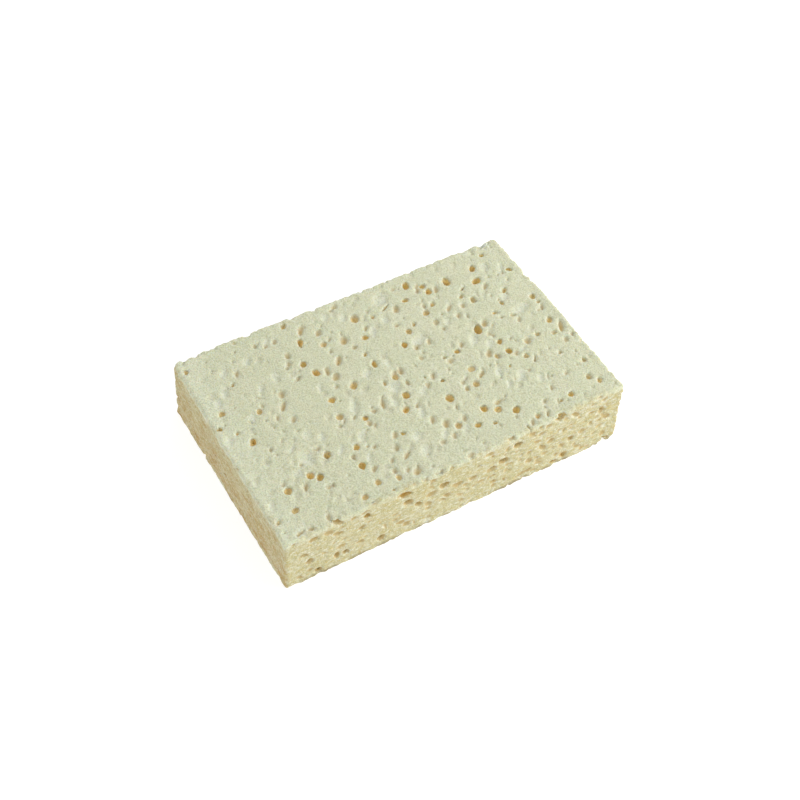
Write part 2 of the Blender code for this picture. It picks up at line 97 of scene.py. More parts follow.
UPPER_OPEN = (
    (-57.0, 36.8, 0.9, 1.0, 0), (-44.0, 25.1, 1.2, 2.0, 65), (-30.9, 31.0, 1.1, 1.4, 30),
    (-27.6, 31.4, 1.3, 1.8, 50), (-32.5, 32.8, 0.7, 1.1, 60), (-26.6, 24.4, 1.4, 1.8, 60),
    (-27.8, 21.2, 1.2, 1.7, 60), (-27.9, 14.8, 1.1, 1.8, 40), (-35.4, 11.5, 1.5, 2.2, 50),
    (-37.1, 7.2, 1.3, 2.7, 50), (-42.6, 10.4, 1.0, 1.3, 60), (-40.8, 4.0, 1.1, 1.6, 65),
    (-36.8, 1.2, 1.3, 2.0, 55), (-43.4, 1.2, 0.8, 1.1, 70), (-44.2, 4.7, 0.8, 0.9, 0),
    (-42.9, 14.1, 0.7, 0.9, 0), (-40.8, 14.3, 0.7, 0.8, 0), (-42.1, 13.4, 0.8, 1.0, 40),
    (-41.2, 12.8, 0.7, 0.9, 0), (-43.4, 13.1, 0.6, 0.8, 0), (-26.4, 17.3, 0.7, 0.9, 50),
    (-43.0, 30.1, 0.8, 0.9, 20), (-50.5, 13.5, 0.6, 0.9, 60), (-3.6, 36.0, 1.4, 1.7, 20),
    (17.5, 33.8, 1.1, 1.5, 20), (-18.0, 31.9, 1.4, 2.8, 55), (-16.0, 32.5, 0.8, 0.9, 0),
    (-11.2, 30.8, 0.8, 1.1, 30), (5.0, 29.1, 1.0, 1.4, 50), (1.0, 23.1, 1.1, 1.8, 40),
    (-7.7, 22.0, 1.9, 2.5, 60), (-7.2, 24.8, 0.7, 1.3, 60), (-11.7, 24.5, 0.9, 1.5, 35),
    (-13.7, 19.8, 0.9, 1.4, 50), (-13.2, 15.3, 1.4, 2.8, 55), (-18.5, 13.1, 1.2, 2.5, 65),
    (-10.6, 15.3, 0.8, 0.9, 0), (11.6, 8.5, 1.4, 1.9, 60),
    (16.2, 8.6, 1.2, 1.9, 60), (0.0, 2.7, 1.2, 1.6, 50), (1.9, 2.2, 1.3, 2.5, 70),
    (-19.0, 6.2, 1.0, 1.2, 30), (12.0, 5.3, 0.9, 1.1, 40),
    (10.4, 3.7, 1.2, 1.4, 40), (14.0, 21.0, 0.7, 1.0, 40), (10.6, 19.6, 1.3, 1.5, 20),
    (25.0, 31.5, 1.1, 1.8, 30), (24.0, 29.2, 1.1, 1.4, 50), (30.1, 27.2, 1.5, 2.1, 60),
    (23.2, 25.1, 0.7, 1.2, 60), (22.7, 22.6, 1.1, 1.8, 75),
    (45.2, 20.6, 1.3, 2.1, 35), (48.4, 23.6, 0.8, 1.0, 60), (53.8, 37.1, 1.4, 2.2, 20),
    (57.0, 37.3, 0.9, 1.4, 20), (53.4, 19.7, 0.8, 1.3, 40), (53.8, 23.3, 0.8, 1.5, 70),
    (52.1, 23.4, 0.8, 1.3, 50), (34.1, 16.7, 1.4, 1.8, 60), (29.4, 17.8, 1.2, 2.4, 40),
    (30.6, 13.6, 1.3, 2.1, 60), (23.2, 11.1, 1.2, 1.5, 40), (32.9, 12.1, 0.7, 1.8, 80),
    (44.5, 16.1, 0.8, 1.2, 60), (45.8, 13.6, 0.8, 1.3, 50), (38.1, 4.7, 1.0, 1.2, 30),
    (46.8, 2.7, 1.1, 1.7, 60), (24.6, 2.5, 1.4, 1.9, 50), (35.0, 2.1, 1.0, 1.4, 30),
    (35.8, 0.9, 1.1, 1.5, 70), (56.2, 3.8, 1.2, 1.9, 65), (54.5, 3.2, 0.8, 1.2, 50),
    (36.1, 6.8, 1.6, 2.1, 70), (-48.0, -5.8, 1.1, 1.4, 60), (-43.5, -4.4, 0.9, 1.3, 60),
    (-23.3, -6.8, 0.8, 1.4, 45), (-42.7, -15.1, 0.9, 1.3, 30), (-36.6, -11.9, 0.8, 0.9, 0),
    (-35.4, -12.1, 1.0, 1.4, 30), (-32.5, -12.6, 0.6, 1.0, 30), (-20.1, -19.7, 1.2, 1.5, 40),
    (-27.5, -20.0, 1.2, 1.8, 70), (-50.6, -18.8, 1.2, 1.5, 20), (-45.2, -23.0, 1.1, 2.2, 65),
    (-39.4, -26.0, 1.2, 1.4, 20), (-24.1, -26.8, 1.2, 2.0, 40), (-44.5, -35.5, 1.2, 1.8, 60),
    (-50.8, -36.6, 1.0, 1.4, 0), (-54.1, -36.4, 0.8, 2.5, 20), (-58.1, -30.1, 1.1, 1.7, 30),
    (-13.4, -8.0, 1.1, 1.5, 50), (-9.6, -6.5, 1.3, 2.8, 75), (-8.5, -4.1, 0.8, 1.2, 70),
    (-6.2, -3.1, 0.6, 0.7, 0), (9.7, -4.6, 1.3, 2.2, 60), (6.6, -6.9, 1.3, 1.7, 60),
    (17.9, -1.8, 1.3, 1.8, 20), (15.6, -4.5, 0.8, 1.2, 60), (-17.0, -11.3, 1.3, 1.6, 60),
    (-15.8, -12.8, 1.1, 1.6, 50), (-19.0, -13.2, 0.8, 0.9, 0), (-0.8, -12.3, 1.0, 1.6, 45),
    (16.8, -11.2, 1.2, 1.5, 40), (18.5, -10.3, 0.8, 1.3, 30), (12.5, -18.6, 0.7, 0.9, 50),
    (9.8, -18.6, 1.0, 1.5, 60), (7.0, -17.9, 0.7, 0.9, 60), (-12.5, -18.8, 1.3, 2.0, 55),
    (0.6, -19.5, 1.2, 2.3, 60), (-14.3, -23.2, 1.3, 1.7, 50), (3.5, -22.6, 1.7, 2.2, 50),
    (9.6, -23.7, 1.2, 1.9, 60), (-12.9, -27.1, 1.2, 2.6, 35), (-17.9, -26.6, 1.0, 1.6, 60),
    (-7.2, -29.8, 0.6, 1.0, 20), (-1.0, -28.2, 1.3, 1.6, 40), (3.4, -27.8, 1.2, 1.8, 60),
    (-19.3, -30.4, 1.3, 1.7, 60), (-15.6, -32.0, 1.2, 1.6, 60), (-13.3, -33.8, 1.7, 2.3, 40),
    (-8.5, -34.5, 0.8, 1.0, 30), (-16.9, -35.0, 0.6, 0.7, 0), (8.5, -32.0, 0.6, 0.9, 40),
    (9.6, -34.6, 0.8, 1.0, 30), (3.8, -36.6, 1.3, 2.0, 10), (17.8, -37.4, 1.3, 2.1, 10),
    (-8.0, -37.3, 0.9, 2.3, 0), (-13.0, -37.2, 0.6, 1.9, 0), (-20.0, -7.1, 1.0, 1.6, 40),
    (30.5, -4.9, 1.4, 2.4, 65), (32.5, -7.5, 1.3, 1.6, 60), (40.0, -2.9, 0.8, 1.4, 40),
    (38.2, -9.0, 1.2, 1.8, 50), (35.0, -10.3, 0.8, 0.9, 0), (44.2, -6.4, 1.7, 2.1, 60),
    (57.2, -6.2, 1.3, 3.4, 65), (58.7, -10.8, 1.2, 1.8, 60), (48.6, -12.5, 0.7, 1.1, 60),
    (28.3, -15.3, 0.8, 1.0, 40), (31.4, -14.9, 0.7, 0.9, 40),
    (23.8, -11.1, 1.1, 2.6, 40), (25.1, -9.1, 0.7, 0.8, 0), (27.9, -9.4, 0.7, 1.0, 50),
    (31.8, -17.9, 0.8, 1.2, 60), (37.8, -17.0, 1.1, 1.5, 60),
    (42.0, -14.0, 0.7, 2.4, 60), (41.5, -22.0, 0.6, 1.8, 60), (47.4, -23.8, 1.1, 1.5, 30),
    (39.9, -26.4, 1.0, 1.6, 60), (22.2, -23.0, 1.2, 2.1, 20), (25.1, -22.1, 0.8, 1.2, 40),
    (24.0, -23.4, 0.7, 0.8, 0), (23.8, -30.9, 0.9, 1.2, 60), (38.5, -32.2, 0.7, 1.6, 65),
    (33.2, -34.6, 1.0, 2.1, 60), (27.2, -35.2, 1.0, 2.1, 60), (52.5, -22.6, 0.9, 1.1, 0),
    (41.6, -33.4, 0.8, 0.9, 0), (55.2, -17.6, 0.8, 0.9, 60),
)
UPPER_DIMPLES = (
    (-54.4, 27.8, 1.3, 2.0, 35), (-47.5, 27.3, 1.7, 3.1, 55), (-38.8, 28.1, 1.6, 3.2, 55),
    (-35.4, 26.8, 1.7, 2.1, 60), (-30.1, 32.3, 1.5, 3.4, 60), (-50.4, 20.6, 1.7, 4.0, 65),
    (-54.2, 17.6, 1.8, 3.0, 70), (-33.9, 18.3, 2.0, 3.2, 65), (-40.0, 16.6, 1.6, 2.8, 60),
    (-28.9, 16.8, 1.6, 2.4, 40), (-47.5, 7.7, 1.7, 3.2, 65), (-57.7, 2.7, 1.9, 3.2, 50),
    (-23.5, 5.3, 1.6, 1.9, 60), (-23.9, 8.1, 1.4, 2.8, 60), (-37.2, 12.8, 1.1, 2.2, 65),
    (-41.5, 6.6, 0.9, 1.6, 50), (-44.0, 2.3, 0.9, 1.6, 40), (-49.9, 3.3, 1.3, 2.1, 60),
    (-55.0, 20.6, 1.9, 2.4, 40), (-43.4, 23.7, 0.9, 1.4, 50), (-45.7, 16.6, 0.9, 1.7, 50),
    (-38.5, 24.6, 0.7, 1.2, 60), (4.4, 35.8, 1.3, 1.8, 60), (-8.4, 33.5, 1.8, 3.1, 65),
    (-5.5, 33.1, 1.2, 2.4, 60), (2.4, 34.1, 1.3, 1.7, 40), (2.8, 27.2, 1.1, 1.9, 60),
    (8.4, 23.8, 1.9, 2.9, 60), (0.0, 9.8, 1.5, 2.5, 50), (5.0, 12.1, 0.9, 1.6, 30),
    (13.7, 10.8, 2.6, 4.5, 20), (-7.7, 6.8, 1.9, 3.3, 55), (0.0, 7.1, 1.6, 2.9, 60),
    (13.0, 2.8, 1.2, 1.5, 40), (-17.5, 2.1, 1.3, 2.1, 50), (-11.5, 1.3, 1.8, 2.6, 40),
    (4.8, 22.1, 1.5, 2.0, 40), (2.5, 20.6, 1.6, 3.6, 65), (11.5, 32.1, 3.2, 4.8, 30),
    (-3.2, 30.8, 2.0, 3.0, 50), (17.0, 7.5, 0.9, 1.4, 50), (25.6, 37.0, 1.8, 2.4, 40),
    (29.2, 31.3, 1.3, 1.7, 60), (34.5, 35.1, 1.1, 1.7, 60), (41.0, 33.8, 1.4, 2.3, 60),
    (45.5, 36.0, 1.2, 2.1, 60), (49.8, 36.7, 1.2, 1.5, 40), (21.0, 24.3, 1.1, 1.9, 30),
    (48.8, 26.1, 0.9, 1.4, 30), (49.8, 28.6, 2.2, 2.9, 40), (54.5, 25.6, 1.3, 3.6, 60),
    (26.0, 13.1, 1.4, 2.8, 65), (40.8, 19.0, 1.0, 2.3, 75), (50.0, 6.6, 2.5, 5.0, 10),
    (29.2, 2.3, 2.3, 4.0, 60), (36.2, 3.3, 1.5, 2.4, 60), (23.8, 5.3, 0.8, 1.4, 60),
    (21.5, 3.3, 1.1, 2.6, 65), (28.5, 24.1, 1.3, 1.9, 80), (43.2, 18.1, 1.6, 2.4, 40),
    (47.9, 13.5, 2.2, 2.7, 60), (32.0, 8.3, 1.8, 2.6, 30), (51.7, 2.8, 1.1, 1.7, 65),
    (42.0, 16.1, 0.7, 1.2, 60), (27.5, 9.3, 0.8, 1.3, 60), (-51.1, -9.2, 2.0, 2.6, 30),
    (-40.4, -5.8, 1.1, 1.9, 60), (-53.5, -7.2, 0.7, 1.7, 50), (-35.8, -6.1, 2.3, 2.8, 60),
    (-32.2, -8.8, 1.5, 2.7, 60), (-27.0, -3.2, 1.6, 2.1, 60), (-25.4, -7.5, 1.5, 2.1, 50),
    (-40.0, -13.6, 3.6, 4.3, 50), (-44.0, -13.0, 1.6, 2.6, 50), (-42.5, -8.7, 1.1, 2.9, 40),
    (-24.4, -13.7, 1.1, 2.1, 45), (-29.6, -16.2, 1.4, 3.2, 60), (-21.4, -14.6, 2.0, 3.7, 60),
    (-55.0, -19.6, 1.6, 2.0, 60), (-46.9, -18.9, 1.6, 2.2, 45), (-45.0, -17.5, 2.2, 2.8, 40),
    (-57.0, -24.0, 1.7, 3.4, 60), (-49.0, -24.4, 1.7, 2.6, 60), (-45.2, -25.5, 0.9, 1.3, 60),
    (-40.0, -28.5, 1.1, 1.7, 70), (-23.5, -22.5, 1.3, 2.7, 60), (-43.1, -32.6, 0.9, 1.5, 50),
    (-36.5, -32.8, 2.0, 2.5, 40), (-38.8, -30.8, 1.3, 1.8, 40), (-35.8, -17.2, 1.8, 2.4, 30),
    (-57.0, -14.0, 1.5, 2.6, 60), (-52.1, -11.9, 0.8, 1.2, 40), (-34.2, -31.5, 1.4, 1.6, 0),
    (-22.5, -30.5, 1.8, 2.2, 40), (-6.2, -8.0, 2.0, 2.9, 60), (-3.4, -2.7, 3.1, 3.8, 50),
    (4.0, -7.9, 1.9, 2.7, 60), (0.2, -11.5, 1.5, 2.6, 45), (-0.8, -15.2, 1.6, 3.5, 65),
    (2.6, -13.2, 0.9, 2.1, 70), (17.0, -18.0, 1.9, 2.3, 40), (-14.7, -23.0, 2.1, 2.6, 50),
    (-6.7, -22.4, 2.4, 2.9, 60), (-10.5, -25.0, 1.2, 2.3, 50), (-7.0, -28.4, 2.6, 3.6, 45),
    (-3.5, -29.5, 1.1, 2.3, 45), (7.8, -27.2, 1.8, 3.0, 50), (-20.8, -28.2, 1.9, 2.3, 50),
    (1.2, -25.5, 1.5, 3.0, 60), (16.6, -30.4, 0.9, 1.6, 60), (-5.2, -5.2, 2.0, 2.6, 50),
    (-17.8, -3.2, 2.0, 4.8, 70), (-9.2, -9.8, 1.6, 2.0, 40), (2.6, -34.2, 1.1, 1.4, 30),
    (40.9, -8.5, 1.1, 2.7, 20), (53.0, -1.2, 1.1, 1.7, 50), (48.1, -2.5, 1.3, 2.6, 50),
    (44.6, -2.5, 0.9, 1.5, 60), (25.0, -16.2, 1.3, 2.1, 50), (31.6, -21.0, 1.6, 2.2, 60),
    (34.8, -17.5, 2.4, 4.0, 45), (44.8, -12.8, 0.9, 1.9, 60), (39.2, -21.5, 1.7, 3.0, 60),
    (51.4, -33.0, 0.9, 1.5, 40), (47.2, -34.0, 1.0, 1.7, 50), (27.8, -4.0, 1.0, 2.6, 60),
    (29.1, -13.0, 1.9, 3.4, 60), (29.1, -18.7, 1.5, 3.0, 60),
    (33.0, -1.5, 1.9, 3.0, 30), (58.0, -35.0, 0.8, 1.5, 30),
)

# The same for the front side: right of the middle, above the lower edge, and so on, as seen from the front
FRONT_DEEP = (
    (-42.8, 22.4, 1.7, 3.1, -35), (-32.8, 18.9, 1.5, 1.9, 0), (-54.1, 13.5, 1.1, 2.1, -15),
    (-42.9, 5.5, 1.6, 2.1, 90), (-39.8, 5.0, 1.5, 2.0, -30), (-27.5, 4.0, 1.9, 2.3, 90),
    (-49.2, 2.3, 1.6, 2.1, -30), (-20.4, 21.0, 1.6, 3.2, -10), (-18.4, 15.9, 1.9, 2.8, -30),
    (-14.9, 12.6, 1.4, 2.5, -35), (-5.8, 16.1, 2.2, 2.6, 0), (18.3, 23.4, 1.6, 2.4, -20),
    (16.0, 14.4, 2.1, 3.0, -20), (20.9, 19.1, 1.9, 2.4, 0), (36.6, 23.0, 2.2, 3.3, 0),
    (41.8, 9.9, 1.7, 2.0, -30),
)
FRONT_OPEN = (
    (-50.8, 19.6, 1.5, 2.3, 0), (-45.6, 19.1, 1.3, 2.4, -25), (-41.4, 19.1, 0.9, 1.2, 0),
    (-42.4, 16.8, 1.1, 2.5, -20), (-37.5, 21.0, 1.3, 1.5, 0), (-33.5, 21.2, 1.1, 1.9, 0),
    (-32.0, 15.4, 1.0, 1.6, 0), (-34.5, 13.8, 1.0, 1.5, 20), (-49.5, 13.5, 0.9, 1.1, 0),
    (-52.1, 9.1, 1.5, 1.8, 60), (-41.5, 9.1, 1.2, 2.3, 0), (-38.5, 10.2, 0.9, 1.3, 0),
    (-34.9, 7.0, 1.2, 2.3, -15), (-33.1, 8.4, 0.8, 1.4, -15), (-21.0, 7.2, 1.2, 2.2, -10),
    (-55.5, 3.0, 0.9, 1.5, -40), (-58.9, 3.8, 0.8, 1.1, 0), (-35.4, 2.3, 0.8, 1.0, 40),
    (-30.5, 23.5, 1.0, 1.8, 0), (-57.5, 21.9, 1.0, 1.3, 0), (-23.0, 12.8, 0.9, 1.6, 0),
    (-21.4, 11.0, 0.8, 1.3, 0), (-23.0, 9.8, 0.8, 1.6, 0), (-28.1, 12.2, 0.9, 1.1, 60),
    (-52.1, 4.4, 1.1, 1.6, 0), (-40.5, 12.5, 0.9, 1.5, 0), (-44.0, 12.8, 0.9, 1.1, 60),
    (-26.4, 9.2, 0.7, 2.2, -75), (-16.2, 23.4, 1.0, 1.8, 0), (-12.9, 24.1, 0.9, 2.1, 0),
    (-8.0, 23.8, 1.1, 2.5, -20), (-3.8, 23.0, 1.1, 1.3, 0), (3.2, 24.5, 1.1, 2.3, -20),
    (8.4, 23.8, 0.9, 1.6, 0), (10.2, 21.2, 1.5, 2.3, -20), (17.0, 19.6, 1.1, 1.5, 40),
    (-10.1, 21.4, 1.1, 1.8, -40), (-10.4, 18.1, 0.9, 1.9, -20), (-10.4, 14.6, 1.5, 2.5, 0),
    (-0.8, 13.4, 1.7, 2.5, 0), (4.8, 12.9, 1.4, 2.0, 0), (11.6, 12.8, 1.7, 2.4, 20),
    (18.0, 11.5, 1.1, 1.9, 0), (-11.2, 10.5, 1.5, 2.0, -40), (-4.4, 10.4, 1.1, 2.3, -25),
    (2.2, 11.1, 1.1, 1.7, -30), (2.6, 8.6, 0.9, 1.4, 0), (8.0, 9.2, 1.0, 1.8, 0), (5.4, 8.5, 0.8, 1.2, 0),
    (11.0, 9.0, 1.0, 1.2, 0), (-11.4, 8.0, 0.9, 1.8, -20), (-6.0, 9.0, 0.9, 2.3, -30),
    (0.4, 7.5, 0.8, 2.2, -30), (12.8, 6.0, 1.3, 1.8, 0), (17.2, 9.0, 1.1, 1.4, 90),
    (-18.6, 5.0, 1.7, 2.0, 0), (-16.0, 4.0, 0.8, 1.2, 90), (-11.2, 3.2, 1.3, 1.8, 0),
    (1.1, 4.1, 0.9, 1.6, 0), (13.0, 4.0, 1.1, 1.4, 0), (26.0, 21.2, 1.5, 1.9, -40),
    (32.1, 21.5, 1.3, 1.6, 0), (38.8, 20.8, 0.9, 1.3, 0), (42.4, 21.0, 1.3, 2.7, -40),
    (53.4, 22.1, 1.3, 1.7, 0), (50.9, 24.0, 0.9, 1.8, 0), (54.8, 19.0, 0.9, 1.1, 90),
    (49.1, 18.1, 1.1, 1.8, 0), (52.6, 17.4, 1.6, 2.2, 90), (44.2, 18.5, 0.9, 1.3, -40),
    (29.6, 19.2, 1.1, 1.9, 0), (28.6, 16.0, 1.3, 1.9, -20), (22.5, 13.6, 0.9, 1.3, 0),
    (25.6, 12.6, 1.2, 1.5, 0), (30.8, 12.1, 1.5, 2.5, -45), (33.9, 13.4, 1.5, 1.9, 0),
    (36.4, 16.9, 0.9, 1.6, 30), (33.8, 15.5, 0.8, 1.2, 0), (32.2, 15.2, 0.8, 1.2, 0),
    (38.5, 16.1, 0.8, 1.4, 70), (22.4, 10.9, 1.1, 1.4, 0), (26.1, 8.2, 1.7, 2.1, -40),
    (28.8, 8.2, 0.9, 1.3, 0), (31.9, 8.5, 1.1, 1.6, 0), (35.0, 9.2, 0.9, 1.3, 0), (37.2, 10.5, 0.9, 1.2, 0),
    (38.5, 8.1, 1.2, 2.0, -40), (45.9, 11.0, 1.6, 2.0, -30), (49.0, 13.1, 1.2, 1.6, -30),
    (47.8, 11.0, 0.8, 1.1, 0), (51.0, 14.8, 0.9, 1.4, 0), (46.5, 15.2, 0.8, 1.1, 0),
    (55.2, 12.9, 1.4, 2.5, -30), (53.1, 9.5, 1.3, 1.8, 0), (47.5, 6.9, 0.8, 1.2, 0),
    (45.0, 3.9, 1.0, 2.1, -10), (39.8, 3.2, 1.7, 2.1, 0), (37.0, 4.8, 1.3, 1.8, 0),
    (29.9, 4.9, 1.0, 2.2, -20), (26.6, 3.6, 0.9, 1.4, 0), (24.0, 3.0, 1.3, 2.1, 0),
    (28.2, 2.2, 0.9, 1.6, 0), (36.0, 1.5, 1.1, 2.3, -20), (43.6, 5.5, 0.9, 1.2, 0),
    (55.0, 4.8, 1.6, 1.9, -60), (56.5, 1.5, 1.1, 2.3, -20), (52.2, 2.9, 0.9, 1.2, 0),
    (41.2, 17.0, 0.8, 1.2, 0), (41.2, 15.2, 0.9, 1.4, 0), (48.8, 22.0, 0.9, 1.4, 0),
    (47.2, 2.0, 1.1, 1.6, 0), (21.0, 16.1, 0.9, 1.6, 0),
)

# Pores of the solid's upper face whose openings are drawn wider: right of the middle, behind the middle,
# and by how much, in millimetres
NARROW_PORES = (
    (20.3, -26.1, 0.42), (6.4, -25.5, 0.22), (-51.7, -28.9, 0.30), (-50.5, -21.6, 0.30), (-42.2, -20.0, 0.20),
    (-25.6, -31.9, 0.28), (-31.6, -34.6, 0.28), (-19.4, -33.3, 0.20), (-58.2, 33.1, 0.25), (-44.6, 8.7, 0.25),
    (-55.2, 13.2, 0.25), (-51.4, -0.5, 0.20), (-22.9, 1.9, 0.25), (-24.0, -4.9, 0.30), (-17.3, -9.1, 0.20),
    (-25.0, -17.4, 0.30), (-22.1, 13.9, 0.15), (43.8, 23.7, 0.20), (22.0, -8.2, 0.35), (20.1, -14.2, 0.30),
    (-0.4, 28.1, 0.25), (-14.4, 23.1, 0.25), (-0.9, 0.8, 0.35), (21.7, 19.3, 0.25), (8.3, 10.6, 0.25),
    (12.5, 15.0, 0.20),
)

# Pores scattered over each side: how many to a square metre, the smallest and largest opening, how much
# longer than wide they are, and how far their length strays from level, in degrees
SCATTER = {
    "upper": (9000, 0.0007, 0.0011, 1.25, 90),
    "lower": (34000, 0.0007, 0.0034, 1.35, 90),
    "front": (16000, 0.0007, 0.0012, 1.6, 30),
    "back": (62000, 0.0008, 0.0026, 1.7, 30),
    "left": (24000, 0.0007, 0.0012, 1.9, 25),
    "right": (52000, 0.0007, 0.0020, 1.9, 25),
}

# Scattered pores: the seed of their draw, how strongly it favours small ones, and from what size one is
# large, and then never a deep one
SCATTER_SEED = 41
SMALL_BIAS = 2.5
LARGE_PORE = 0.0018

# A pore is left out where the surface is a hollow of this depth already, and one deeper than the second
# value keeps scattered pores off its place
HOLLOW_ALREADY = 0.0003
TAKES_ITS_PLACE = 0.0006
# How far from a pore's middle its vertices are looked for, as a share of its half length
SEARCH_SHARE = 1.2

# Bands over which something comes in: in from the edges, under the sides, under the surface at a pore,
# away from the middle of a narrow pore, and for the tones of the sides
BANDS = {
    "edge_rounding": (0.0009, 0.0016),
    "torn_edge": (0.0003, 0.0024),
    "inner_surface": (0.0006, 0.002),
    "close_under": (0.0004, 0.0012),
    "cut_skin": (0.0003, 0.0015),
    "off_floor": (0.0004, 0.002),
    "off_left": (0.0008, 0.004),
    "worn_corner": (0.0021, 0.0036),
    "upper_pores": (0.003, 0.006),
    "pore_wall": (0.00003, 0.0003),
    "pore_slope": (0.00005, 0.0005),
    "other_hollow": (0.0002, 0.0009),
    "toned_hollow": (0.0002, 0.0006),
    "side_wall": (0.0001, 0.0004),
    "clear_of_broad": (0, 0.001),
    "narrow_core": (0, 0.0008),
    "narrow_pull": (0.0011, 0.0030),
    "narrow_tone": (0.0012, 0.0020),
    "cut_tone": (0.0008, 0.0022),
    "side_tone": (0.0002, 0.0030),
    "end_tone": (-0.0004, 0.0006),
}

# How many times vertices are averaged with their neighbours, for each use
ROUNDS = {"block": 4, "rim": 3, "slope": 6, "side_pores": 8, "rim_highlight": 8, "pores": 1}

# How far the walls and the rims of the solid's pores are moved in, and how much hollow lies round a rim
WALL_WIDENING = 0.00034
RIM_WIDENING = 0.0005
RIM_SHARES = (0.08, 0.45)

# How far the surface sinks towards a pore, as a share of the depth near by, which counts to this much
RIM_SLOPE = 0.45
COUNTED_DEPTH = 0.0008

# Gains for the tones: the depth of the narrow pores, which brings in more of the painted bounce light, the
# reach of the dimples and that of the painted highlights round the pores
NARROW_GAIN = 2.2
SHALLOW_GAIN = 3
RIM_HIGHLIGHT_GAIN = 2.5

# The line where the skin gives way to a cut side: how far it wanders, how much nearer to the broad face it
# lies on the long sides, on the ends and round the lower face, and how much further on the back and right
WANDER_REACH = 0.0020
SMALL_WANDER_REACH = 0.0011
LONG_SIDE_NEARER = 0.0008
END_NEARER = 0.0003
LOWER_NEARER = 0.0012
BACK_RIGHT_FURTHER = 0.0012

# Random fields over the surface, each the size of its features and a number that picks the field
WAVE = (0.009, 3.1)
RIPPLE = (0.0027, 7.7)
FINE = (0.0011, 4.3)
BEDS = (0.0026, 1.3)
BED_PITS = (0.0013, 8.8)
TEARS = (0.0035, 5.2)
SMALL_TEARS = (0.0013, 9.4)
WANDER = (0.005, 6.6)
SMALL_WANDER = (0.0014, 2.6)
SIDEWAYS = ((0.0021, 11.3), (0.0021, 17.9), (0.0021, 23.2))

# How far those fields move the surface, how far the skin and the edges stand out over the solid, and how
# much calmer the beds are at an edge. The foam lies in flat beds, so their fields are squeezed upwards
BEDDING = (1, 1, 2.2)
BED_HEIGHT = 0.0002
BED_PIT_DEPTH = 0.00018
FINE_HEIGHT = 0.00009
SIDEWAYS_REACH = 0.0003
SKIN_RISE = 0.00028
EDGE_RISE = 0.0002
EDGE_FINE = 0.00015
EDGE_CALM = 0.6

# Where a ray starts that looks for what encloses the surface, and how much it keeps away from it
OFF_SURFACE = 0.00003
AWAY_FROM_SURFACE = 1.02

# Bits torn out of the edges or left standing: the place, the reach and the way that the surface moves,
# in millimetres
TORN_BITS = (
    ((-57.5, -38.1, 0), 2.4, (0, 0.2, 0.5)),
    ((-49.0, -38.1, 0), 2.0, (0, 0.2, 0.3)),
    ((-33.0, -38.1, 0), 2.0, (0, 0.2, 0.3)),
    ((-19.0, -38.1, 0), 3.0, (0, 0.2, 0.3)),
    ((4.5, -38.1, 0), 2.0, (0, 0.3, 0.6)),
    ((14.0, -38.1, 0), 2.0, (0, 0.2, 0.3)),
    ((25.0, -38.1, 0), 2.0, (0, 0.2, 0.4)),
    ((36.5, -38.1, 0), 1.6, (0, 0.2, 0.3)),
    ((52.0, -38.1, 0), 1.8, (0, 0.2, 0.4)),
    ((60, -38.1, 0), 3.0, (-0.2, 0.2, 0.4)),
    ((60, 19.0, 23.6), 2.2, (-0.9, 0, -0.3)),
    ((-52.5, 38.1, 23.6), 1.6, (0, -0.5, -0.2)),
    ((-60, 38.1, 23.7), 2.4, (0.6, -0.4, -0.1)),
    ((-60, 36.8, 1.0), 1.8, (-0.6, 0.1, 0.2)),
    ((60, 38.1, 24.0), 2.6, (0.6, 0.4, 0)),
    ((60, 6.0, 23.6), 26.0, (0.5, 0, 0)),
    ((60, -38.1, 24.0), 9.0, (0.3, -0.1, 0)),
    ((-34, 38.1, 23.6), 34.0, (0, 0.5, 0)),
)

# The sides of the block, each by the axis that it faces along, which way, and the axes that run right
# and up on it
SIDES = {
    "upper": (2, 1, 0, 1),
    "lower": (2, -1, 0, 1),
    "right": (0, 1, 1, 2),
    "left": (0, -1, 1, 2),
    "back": (1, 1, 0, 2),
    "front": (1, -1, 0, 2),
}
BROAD_SIDES = ("upper", "lower")
CUT_SIDES = ("front", "back", "left", "right")

# Where each side lies on the piece's own map, a square of MAP_SIDE millimetres: the place of its lower
# left corner, and whether its height runs to the right there
MAP_SIDE = 205.0
MAP_PLACES = {
    "upper": (2, 2, False),
    "lower": (2, 80.5, False),
    "left": (124, 2, True),
    "right": (124, 80.5, True),
    "front": (151, 2, True),
    "back": (178, 2, True),
}

